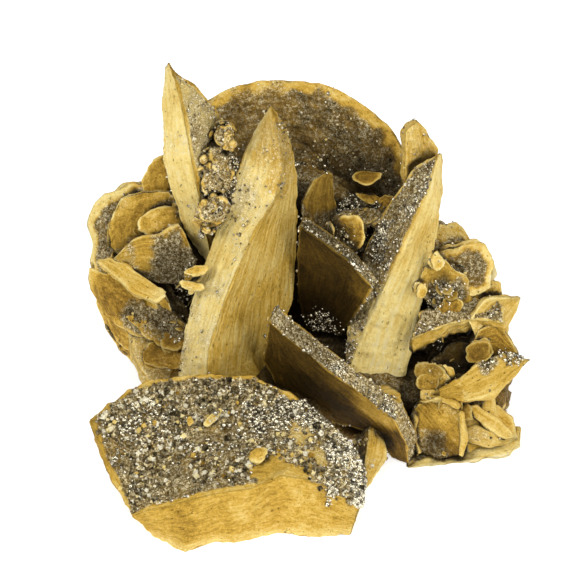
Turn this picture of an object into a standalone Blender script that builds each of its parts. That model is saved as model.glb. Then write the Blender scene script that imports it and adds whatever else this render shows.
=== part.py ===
"""Siderite specimen: tabular, bladed and lens-shaped crystals grown together on a lump of the same
mineral, cut flat underneath where the group broke off. Every crystal is one flat solid, placed by a
point of its broad face and by the way that face looks. They are joined into one body."""

import math
from collections import namedtuple

import bmesh
import bpy
from mathutils import Matrix, Vector

MM = 0.001  # every size below is in millimetres

# A blade or plate: a point of its broad face, the way the face looks (degrees round to the right from
# the front, degrees up from level), its thickness, the outline of that face as (across, up) from the
# point, and the outline of its far side, or how much smaller the far side is about its middle. A
# corner with a third number stands that far out of its own flat side, or sinks below it.
Plate = namedtuple("Plate", "name place facing lean thick face back")

# A lens or petal: the middle of its broad face, the same two angles, its half sizes, how far the
# longer one is rolled up from level, its thickness, and how many lobes its edge has.
Petal = namedtuple("Petal", "name place facing lean radii roll thick lobes")

PLATES = (
    Plate("front_slab", (-13, -17, 14), 0, 70, 12,
          ((-23.5, 2.5, -1), (-17, 8.5), (-12, 10.5), (-3, 11.5), (4.5, 11), (10.5, 7.5), (17, 1),
           (21, -3, -1), (23, -7.5, -3), (22, -12.5, -4.5), (16, -9.5, -1.5), (9, -9, 0.5),
           (4.5, -11.5, 0.5), (-2.5, -12.5), (-13.5, -14, -3), (-16, -14.5, -4), (-21, -4.5, -2)),
          ((-21, -0.5), (-15.5, 11), (-12, 12), (-3, 13), (4, 13), (10.5, 10), (17, 3.5),
           (21, 0), (23, -6, 1), (20.5, -15, 2), (13, -16, 2), (8, -14.5, 2),
           (0.5, -17.5, 2), (-2.5, -17.5, 2), (-7, -20.5, 3), (-11.5, -15.5, 2), (-17.5, -7.5, 2))),
    Plate("slab_shard", (12, -12, 5), 35, 55, 8,
          ((1.5, 5), (3, 4.5), (3, 0.5), (1.5, -1.5), (-1, -3), (-5, -5), (-3.5, -1.5)), 1.1),
    Plate("central_blade", (-7.5, 5, 31.5), 46, 3, 7.5,
          ((4, 30.5), (7, 26), (8.5, 21.5), (9.5, 14.5), (9, 4), (7.5, -7.5), (1, -27.5),
           (-16, -18.5), (-11, -4.5), (-7.5, 2), (-3, 7), (2, 14), (4.5, 21.5), (4.5, 27)),
          ((8, 25), (9.5, 22.5), (10.5, 18), (10.5, 11), (10, 0.5), (8.5, -11.5), (0.5, -30.5),
           (-15, -22.5), (-12, -11), (-9, -3.5), (-6, 2), (0, 11.5), (3.5, 17.5), (6.5, 22))),
    Plate("left_blade", (-17, 12, 51.5), 54, 5, 5,
          ((-7, 20), (-5.5, 17.5), (-1, 13), (4, 6), (6.5, 0), (8.5, -5), (8.5, -12.5), (5.5, -19),
           (-0.5, -24), (-2, -15), (-2.5, -8), (-3.5, -0.5), (-4, 6), (-5, 13)),
          ((-2, 15.5), (-1, 14), (1, 10.5), (5.5, 4), (8, -2), (9.5, -7), (9, -14), (6.5, -21),
           (3, -27), (-1, -18), (-4, -8.5), (-5.5, -1), (-4.5, 6.5), (-3.5, 12))),
    Plate("right_blade", (15.5, 8, 33.5), -50, 25, 8,
          ((1.5, 19), (2, 11), (1.5, 5), (-0.5, -5.5), (-1, -14), (-1, -21.5), (-3, -19), (-6, -12),
           (-7, -3), (-5.5, 6), (-2.5, 15)),
          ((-4.5, 16.5), (-1.5, 11), (0.5, 5.5), (2.5, -4), (4, -11.5), (5.5, -23.5), (0.5, -24.5),
           (-5, -17), (-6.5, -6), (-6, 4), (-5.5, 13))),
    Plate("blade_behind", (19.5, 17, 49), 20, 10, 4,
          ((-2.5, 3), (-1.5, 4), (0, 4.5), (2, 1.5), (3.5, -1.5), (4, -10), (-0.5, -14), (-3, -6)), 0.9),
    Plate("upper_plate", (4, 4, 33.5), -28, -15, 4,
          ((-5.5, 8), (-1.5, 6), (4, 2), (8, -3.5), (6, -7.5), (3, -13), (0, -18.5), (-8.5, -20.5),
           (-11.5, -14), (-10.5, -0.5)), 1.0),
    Plate("lower_plate", (4, -8, 18.5), -30, -20, 4.5,
          ((-9.5, 11.5), (-6, 7.5), (0, 2.5), (6, -2), (11.5, -6.5), (13, -13.5), (12, -21),
           (9.5, -23), (8, -17.5), (4.5, -13.5), (-4.5, -15), (-11, -12.5), (-13.5, -2)), 1.0),
    Plate("foot_wedge", (15.5, -5.5, 5), 30, 10, 8,
          ((-3, 7.5), (2, 6.5), (3, 0.5), (3.5, -5), (2, -9.5), (0.5, -6), (-1.5, 0.5)), 1.0),
    Plate("hollow_blade", (2.5, 14, 41), 25, 10, 2.5,
          ((2, 4), (3, 3), (3, 0), (3, -10), (0, -15), (-4, -12), (-3.5, -0.5), (-2, 1.5), (-1, 3)), 0.9),
    Plate("rosette_plate", (-26.5, 9, 32.5), -5, 40, 3,
          ((-6.5, -1.5), (-3.5, 2), (-1.5, 3), (1.5, 3.5), (4.5, 5.5), (5.5, 4.5), (8, -1),
           (6.5, -5.5), (2, -5.5), (-3.5, -3.5)), 0.9),
    Plate("rosette_blade", (-30, 5, 30.5), -20, 62, 2,
          ((-6.5, 1.5), (-4.5, 2.5), (-1.5, 2), (4, 0), (7.5, -2), (6.5, -4), (2.5, -3.5), (-1.5, -1.5),
           (-5, 0.5)), 0.9),
    Plate("right_triangle", (33.5, 7, 21.5), 25, 12, 3,
          ((-4, 2), (-2.5, 3), (-0.5, 3), (2.5, 2), (4.5, 1.5), (3.5, -0.5), (2, -4), (0.5, -6),
           (-4, -7), (-6, -0.5)), 0.9),
    Plate("right_ledge", (26, 3, 21), -12, 45, 5,
          ((-7, -0.5), (-5, 1), (-3, 2.5), (-0.5, 3), (4.5, 4), (6.5, 3.5), (8, 2.5), (7, 0),
           (5, -1.5), (1.5, -3), (-4, -5), (-7.5, -5), (-7.5, -2.5)), 1.0),
    Plate("right_point", (35.5, 0, 14.5), 30, 45, 5,
          ((-0.5, 2), (2.5, 1), (4, 1.5), (4.5, 0.5), (3, -0.5), (0.5, -1.5), (-2.5, -2), (-4.5, -3),
           (-8, -1), (-4.5, 2)), 0.9),
    Plate("striated_block", (21.5, -6, 6.5), -15, 15, 8,
          ((-2.5, 4), (-0.5, 5), (1.5, 4.5), (4, 1), (6, -2.5), (6, -8), (-0.5, -8), (-2, -3)), 0.9),
    Plate("right_prism", (31.5, -1.5, 9.5), 10, 20, 5,
          ((-1.5, 1), (0, 3), (1.5, 1), (2, -6), (0.5, -7), (-1.5, -5)), 0.9),
    Plate("right_foot", (27.5, -5, 1.5), 0, 70, 6,
          ((-10, -1.5), (-4.5, 1.5), (1, 3.5), (6, 4.5), (10, 4), (10, 1), (8, -1.5), (1.5, -3),
           (-5, -4), (-10, -4.5)), 0.95),
)

PETALS = (
    Petal("back_disc", (-3, 23.5, 35.5), -4, 18, (22.5, 19.5), 0, 4, 0),
    Petal("rosette_back", (-29.5, 18, 29.5), -20, 12, (11.5, 9), 65, 3.5, 5),
    Petal("rosette_lobe", (-25, 18.5, 40.5), -10, 12, (5, 3.5), 70, 3, 3),
    Petal("rosette_mid", (-27.5, 15.5, 33), -15, 20, (8, 6.5), 50, 3, 5),
    Petal("rosette_inner", (-24, 13, 36), 5, 25, (5, 3), 10, 2.5, 3),
    Petal("rosette_low", (-32, 6, 23.5), -25, 5, (8, 4.5), 135, 3, 3),
    Petal("rosette_shelf", (-26, 3.5, 21.5), -15, 30, (6, 3.5), 150, 3, 4),
    Petal("rosette_lens", (-22.5, 2, 20), 0, 45, (3, 2.5), 50, 2.5, 3),
    Petal("rosette_lens_low", (-24.5, 1, 16.5), -10, 40, (4, 2.5), 170, 2.5, 3),
    Petal("rosette_foot", (-29.5, 7, 19), -30, -5, (11.5, 7.5), 125, 4, 5),
    Petal("lump_high", (-13.5, 12, 51), 70, 30, (3, 2), 60, 5, 3),
    Petal("lump_mid", (-14.5, 9.5, 47.5), 20, 20, (2.5, 3.5), 30, 4, 3),
    Petal("lump_low", (-14.5, 6.5, 43.5), 60, 50, (3.5, 2.5), 160, 5, 3),
    Petal("stub_high", (-18.5, 2, 33.5), -10, 30, (2, 1.5), 0, 4, 3),
    Petal("stub_low", (-19.5, 1, 31), -10, 30, (2, 1.5), 0, 4, 3),
    Petal("hollow_disc", (7.5, 10, 35.5), -20, 20, (4, 3.5), 120, 4, 3),
    Petal("hollow_shelf", (9.5, 14, 37.5), -10, 60, (4.5, 5), 0, 2.5, 3),
    Petal("hollow_ridge", (6, 8, 36), -60, 30, (4, 2), 170, 2, 3),
    Petal("flake_high", (11, 21.5, 41.5), -25, 55, (2.5, 3), 40, 2, 3),
    Petal("flake_mid", (11, 19, 38.5), -10, 50, (2, 4), 10, 2, 3),
    Petal("flake_low", (13.5, 17.5, 37.5), -30, 40, (2, 3.5), 10, 2, 3),
    Petal("knob_high", (23, 6.5, 32), 20, 20, (2.5, 1.5), 80, 4, 3),
    Petal("knob_low", (20.5, 5, 27), 20, 20, (2, 1.5), 80, 6, 3),
    Petal("right_back", (26, 16, 27.5), 15, 20, (6.5, 4), 120, 3, 4),
    Petal("right_cup", (28, 11.5, 27.5), -12, 38, (5, 4.5), 145, 3, 4),
    Petal("right_curl", (26.5, 8.5, 25), 20, 15, (5.5, 3), 120, 2.5, 3),
    Petal("right_bud", (25, 6.5, 22.5), -5, 30, (2.5, 2), 0, 3, 3),
    Petal("right_bit", (33, 9, 24.5), 10, 40, (2, 1.5), 0, 3, 3),
    Petal("right_backing", (32.5, 4, 16.5), 5, 15, (5, 4), 130, 3.5, 4),
    Petal("right_round", (30, 1, 16), -10, 20, (3, 2.5), 30, 3, 4),
    Petal("low_round_back", (21.5, -1, 14), -5, 35, (3, 2.5), 0, 3, 3),
    Petal("low_round_front", (22, -2, 12.5), 5, 30, (3.5, 2.5), 0, 3, 3),
    Petal("low_shelf", (24, -3, 11.5), 0, 50, (5, 2.5), 0, 3, 3),
    Petal("spike_high", (26, 0, 14), 15, 20, (2.5, 1), 100, 3, 3),
    Petal("spike_low", (25, -1, 13), -5, 20, (2.5, 1), 105, 3, 3),
    Petal("right_wall", (30, -3.5, 5), 10, 10, (7, 6.5), 0, 6, 5),
    Petal("right_floor", (22, 12, 24), -10, 35, (6, 5), 20, 3, 4),
    Petal("right_step", (22, 5, 18), -10, 30, (5, 4), 160, 3, 4),
    Petal("right_middle", (28, 3, 12), 0, 20, (7, 5), 0, 4, 4),
    Petal("rear_left", (-17, 26, 20), 205, 20, (12, 9), 40, 4, 5),
    Petal("rear_left_high", (-14, 27.5, 32), 200, -12, (9, 7), 110, 3, 4),
    Petal("rear_right", (15, 26.5, 17), 160, 25, (12, 9), 140, 4, 5),
    Petal("rear_high", (3, 30.5, 37), 185, -15, (12, 10), 20, 3, 4),
    Petal("rear_high_lens", (6, 31, 31), 170, 30, (8, 5), 30, 3, 4),
    Petal("rear_middle", (-4, 31, 22), 190, 20, (9, 7), 150, 3.5, 4),
    Petal("rear_low", (-4, 29, 8), 180, 40, (11, 7), 0, 4, 4),
    Petal("rear_low_right", (15, 24, 8), 150, 35, (9, 6), 10, 4, 4),
    Petal("rear_low_left", (-20, 22, 8), 215, 35, (9, 6), 170, 4, 4),
    Petal("rear_corner", (27, 21, 20), 120, 20, (9, 7), 60, 4, 4),
    Petal("rear_corner_high", (20, 25, 28), 140, -5, (8, 6), 70, 3, 4),
    Petal("side_left", (-31, 16, 14), 255, 15, (8, 6), 30, 4, 4),
    Petal("side_left_rear", (-31, 22, 25), 240, 10, (8, 7), 60, 3.5, 4),
    Petal("side_right", (30.5, 12, 15), 80, 25, (7, 6), 60, 4, 4),
    Petal("side_right_low", (34, 5, 8), 85, 20, (6, 5), 10, 4, 3),
)

# Lumps of the same mineral between and under the crystals: middle and half sizes.
LUMPS = (
    ((0, 10, 8), (28, 16, 10)),
    ((24, 5, 6), (13, 9, 9)),
    ((-22, 15, 18), (11, 8, 13)),
    ((3, 24, 20), (19, 7.5, 19)),
)
LUMP_ROUGHNESS = 0.06  # share of its half size that a lump's surface rises and falls
FEWEST_SIDES = 9  # of a petal, which has one more for each millimetre of its longer half size
PETAL_TAPER = 0.88  # far side of a petal against its face
LOBE_DEPTH = 0.05  # share of its half size that a petal's edge goes in and out
DISH = 0.04  # how far a petal's face curves, as a share of its size
CUT_HEIGHT = 30  # of the block that takes away what reaches below the flat underside

SIDERITE_COLOUR = (0.42, 0.27, 0.08, 1)
SIDERITE_ROUGHNESS = 0.62


def clear_scene():
    for thing in list(bpy.data.objects):
        bpy.data.objects.remove(thing)


def new_collection(name):
    collection = bpy.data.collections.new(name)
    bpy.context.scene.collection.children.link(collection)
    return collection


def pose(place, facing, lean):
    """The matrix that turns (across, up, out) of a face into the scene's axes, at its place."""
    turn = Matrix.Rotation(math.radians(facing), 4, "Z")
    tip = Matrix.Rotation(math.radians(90 - lean), 4, "X")
    return Matrix.Translation(Vector(place)) @ turn @ tip


def far_outline(plate):
    if not isinstance(plate.back, float):
        return plate.back
    middle = sum((Vector(corner) for corner in plate.face), Vector((0, 0))) / len(plate.face)
    return [middle + (Vector(corner) - middle) * plate.back for corner in plate.face]


def on_side(corner, depth):
    """A corner of an outline, at a side that lies this far behind the face."""
    across, up, out = (*corner, 0)[:3]
    return across, up, out - depth


def plate_mesh(plate):
    """A loft from the outline of the broad face to the outline of the far side."""
    shape = bmesh.new()
    near = [shape.verts.new(on_side(corner, 0)) for corner in plate.face]
    far = [shape.verts.new(on_side(corner, plate.thick)) for corner in far_outline(plate)]
    sides = [shape.faces.new(near), shape.faces.new(reversed(far))]
    for i in range(len(near)):
        shape.faces.new((near[i - 1], far[i - 1], far[i], near[i]))
    if any(len(corner) == 3 for corner in plate.face):
        bmesh.ops.poke(shape, faces=sides)
    return shape


def petal_mesh(petal):
    """A low cone frustum, stretched to an oval with a lobed edge and bent a little like a saddle."""
    long, short = petal.radii
    shape = bmesh.new()
    bmesh.ops.create_cone(shape, cap_ends=True, cap_tris=True, segments=FEWEST_SIDES + round(long), radius1=PETAL_TAPER,
                          radius2=1, depth=petal.thick)
    for vert in shape.verts:
        angle = math.atan2(vert.co.y, vert.co.x)
        lobe = 1 + LOBE_DEPTH * math.sin(petal.lobes * angle)
        bend = DISH * short * (vert.co.x ** 2 - vert.co.y ** 2)
        vert.co = Vector((vert.co.x * lobe * long, vert.co.y * lobe * short,
                          vert.co.z - petal.thick / 2 + bend))
    shape.transform(Matrix.Rotation(math.radians(petal.roll), 4, "Z"))
    return shape


def lump_mesh(place, half_sizes):
    """A round lump whose surface rises and falls in a few slow waves."""
    shape = bmesh.new()
    bmesh.ops.create_icosphere(shape, subdivisions=2, radius=1)
    for vert in shape.verts:
        x, y, z = vert.co
        wave = math.sin(5 * x + place[0]) + math.sin(6 * y + place[1]) + math.sin(7 * z + place[2])
        vert.co *= 1 + LUMP_ROUGHNESS * wave
    shape.transform(Matrix.Translation(Vector(place)) @ Matrix.Diagonal((*half_sizes, 1)))
    return shape


def add_object(name, shape, collection, helper=True):
    if shape.calc_volume(signed=True) < 0:
        bmesh.ops.reverse_faces(shape, faces=shape.faces)
    shape.transform(Matrix.Scale(MM, 4))
    mesh = bpy.data.meshes.new(name)
    shape.to_mesh(mesh)
    shape.free()
    thing = bpy.data.objects.new(name, mesh)
    collection.objects.link(thing)
    if helper:
        thing.hide_render = True
        thing.display_type = "WIRE"
    return thing


def siderite_material():
    material = bpy.data.materials.new("siderite")
    material.use_nodes = True
    shader = material.node_tree.nodes["Principled BSDF"]
    shader.inputs["Base Color"].default_value = SIDERITE_COLOUR
    shader.inputs["Roughness"].default_value = SIDERITE_ROUGHNESS
    shader.inputs["Metallic"].default_value = 0
    return material


def add_crystals(collection):
    for plate in PLATES:
        shape = plate_mesh(plate)
        shape.transform(pose(plate.place, plate.facing, plate.lean))
        add_object(plate.name, shape, collection)
    for petal in PETALS:
        shape = petal_mesh(petal)
        shape.transform(pose(petal.place, petal.facing, petal.lean))
        add_object(petal.name, shape, collection)
    for number, (place, half_sizes) in enumerate(LUMPS[1:], 1):
        add_object(f"lump_{number}", lump_mesh(place, half_sizes), collection)


def add_ground_block(collection):
    """A block whose top is the plane that the specimen is cut flat on."""
    shape = bmesh.new()
    bmesh.ops.create_cube(shape, size=1)
    shape.transform(Matrix.Diagonal((200, 200, CUT_HEIGHT, 1)))
    shape.transform(Matrix.Translation((0, 0, -CUT_HEIGHT / 2)))
    return add_object("ground_block", shape, collection)


def main():
    clear_scene()
    part = new_collection("siderite_specimen")
    crystals = new_collection("crystals")
    cutters = new_collection("cutters")
    add_crystals(crystals)
    cluster = add_object("siderite_cluster", lump_mesh(*LUMPS[0]), part, helper=False)
    cluster.data.materials.append(siderite_material())
    grow = cluster.modifiers.new("grow_together", "BOOLEAN")
    grow.operation = "UNION"
    grow.operand_type = "COLLECTION"
    grow.collection = crystals
    cut = cluster.modifiers.new("flat_underside", "BOOLEAN")
    cut.operation = "DIFFERENCE"
    cut.object = add_ground_block(cutters)


main()
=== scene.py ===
"""Siderite specimen dressed for its frame: bladed, tabular and lens-shaped siderite crystals grown
together, dusted with small pyrite crystals. Laid out as an add-on and run as a script: every piece or
group of like pieces has an operator of its own, and main() calls them in order."""

import math
from collections import namedtuple
from functools import cache

import bpy
import numpy as np
from bpy.props import FloatProperty, FloatVectorProperty, IntProperty, PointerProperty
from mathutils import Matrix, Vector


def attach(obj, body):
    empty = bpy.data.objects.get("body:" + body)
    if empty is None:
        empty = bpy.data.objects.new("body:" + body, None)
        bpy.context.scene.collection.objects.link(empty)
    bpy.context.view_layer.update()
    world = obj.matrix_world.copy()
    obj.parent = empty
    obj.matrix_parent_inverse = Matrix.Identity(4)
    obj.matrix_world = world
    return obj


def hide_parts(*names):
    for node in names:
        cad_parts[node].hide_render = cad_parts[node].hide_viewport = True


bl_info = {
    "name": "Siderite Specimen",
    "version": (1, 0, 0),
    "blender": (4, 5, 0),
    "location": "View3D > Sidebar > Siderite",
    "description": "Builds a group of siderite crystals with pyrite, and the stage it stands on",
    "category": "Add Mesh",
}

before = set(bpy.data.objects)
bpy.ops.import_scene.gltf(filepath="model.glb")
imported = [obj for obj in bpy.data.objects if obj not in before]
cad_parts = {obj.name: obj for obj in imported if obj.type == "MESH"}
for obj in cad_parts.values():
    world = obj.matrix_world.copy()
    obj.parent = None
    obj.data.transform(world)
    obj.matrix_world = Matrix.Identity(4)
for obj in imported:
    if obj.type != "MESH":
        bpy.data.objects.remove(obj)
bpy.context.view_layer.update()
NODE = "siderite_cluster"
BODY = "root"
MM = 0.001  # sizes below are in millimetres

# How each zone of a crystal is finished. A zone is (tone, crust): tone runs from 0, dark amber, to 1,
# cream, and crust from 0, clean, to 1, all covered. rim is (width, tone) of the clean band along the
# edge. The relief, in mm, is that of growth lines, of the clean faces, of the crust and of the edges.
# settle is how much more crust lies on what looks up, and pyrite how closely its crystals lie.
Look = namedtuple("Look", "face wall back rim lines sugar grit ragged settle pyrite")

LOOKS = {
    "slab": Look((0.52, 0.95), (0.56, 0), (0.5, 0.3), (0.8, 0.66), 0.02, 0.2, 0.25, 0.3, 0, 1),
    "central": Look((0.7, 0), (0.98, 0.38), (0.5, 0.5), (0.6, 0.66), 0.14, 0.08, 0.14, 0.2, 0, 0.05),
    "left": Look((1, 0.66), (0.92, 0.1), (0.5, 0.5), (0.5, 0.6), 0.13, 0.08, 0.16, 0.2, 0, 0.04),
    "right": Look((0.42, 0.85), (0.9, 0), (0.7, 0.1), (0.5, 0.8), 0.12, 0.09, 0.2, 0.25, 0, 1.5),
    "pale": Look((0.8, 0.5), (0.8, 0.3), (0.5, 0.3), (0.5, 0.8), 0.05, 0.1, 0.15, 0.25, 0, 0.2),
    "disc": Look((0.38, 0.8), (0.66, 0), (0.4, 0.6), (1.9, 0.68), 0.08, 0.06, 0.12, 0.2, 0, 0.06),
    # The plate look's faces are dark amber as painted shade, for faces that look down into the hollow.
    "plate": Look((0.14, 0), (0.6, 0.85), (0.35, 0.5), (0.4, 0.6), 0.05, 0.08, 0.2, 0.2, 0.4, 1),
    "petal": Look((0.56, 0.05), (0.82, 0), (0.45, 0.3), (0.35, 1), 0.02, 0.07, 0.14, 0.3, 0.1, 0.03),
    "banded": Look((0.45, 0.75), (0.85, 0), (0.45, 0.3), (1.6, 0.95), 0.02, 0.07, 0.2, 0.25, 0.2, 0.8),
    "amber": Look((0.42, 0.1), (0.6, 0), (0.4, 0.3), (0.3, 0.9), 0.02, 0.08, 0.14, 0.3, 0.15, 0.05),
    "golden": Look((0.68, 0.05), (0.75, 0), (0.5, 0.2), (0.4, 0.88), 0.05, 0.16, 0.12, 0.3, 0.1, 0.02),
    "ledge": Look((0.5, 0.8), (0.66, 0.05), (0.3, 0.2), (0.3, 0.85), 0.02, 0.35, 0.2, 0.45, 0.2, 0.8),
    "druse": Look((0.4, 1), (0.4, 1), (0.3, 1), (0.1, 0.4), 0, 0.25, 0.35, 0.3, 0, 1),
    "block": Look((0.5, 0.1), (0.6, 0.3), (0.4, 0.3), (0.5, 0.8), 0.14, 0.25, 0.2, 0.35, 0, 0.1),
    "crumb": Look((0.6, 0.85), (0.64, 0.6), (0.6, 0.5), (0.15, 0.8), 0.02, 0.25, 0.3, 0.4, 0.1, 0.04),
    "rear": Look((0.58, 0.2), (0.75, 0.05), (0.45, 0.4), (0.5, 0.9), 0.04, 0.09, 0.14, 0.22, 0.25, 0.06),
    "lump": Look((0.3, 0.6), (0.3, 0.6), (0.3, 0.6), (0.3, 0.6), 0, 0.35, 0.35, 0.3, 0.1, 0.1),
}

# A blade or plate: how it is finished, a point of its broad face, the way the face looks (degrees
# round to the right from the front, degrees up from level), its thickness, the outline of that face
# as (across, up) from the point, and the outline of its far side, or how large that is against the
# face. A corner with a third number stands that far out of its own flat side.
Plate = namedtuple("Plate", "name look place facing lean thick face back")

# A lens or petal: how it is finished, the middle of its broad face, the same two angles, its half
# sizes, how far the longer one is rolled up from level, its thickness, and the lobes of its edge.
Petal = namedtuple("Petal", "name look place facing lean radii roll thick lobes")

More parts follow.
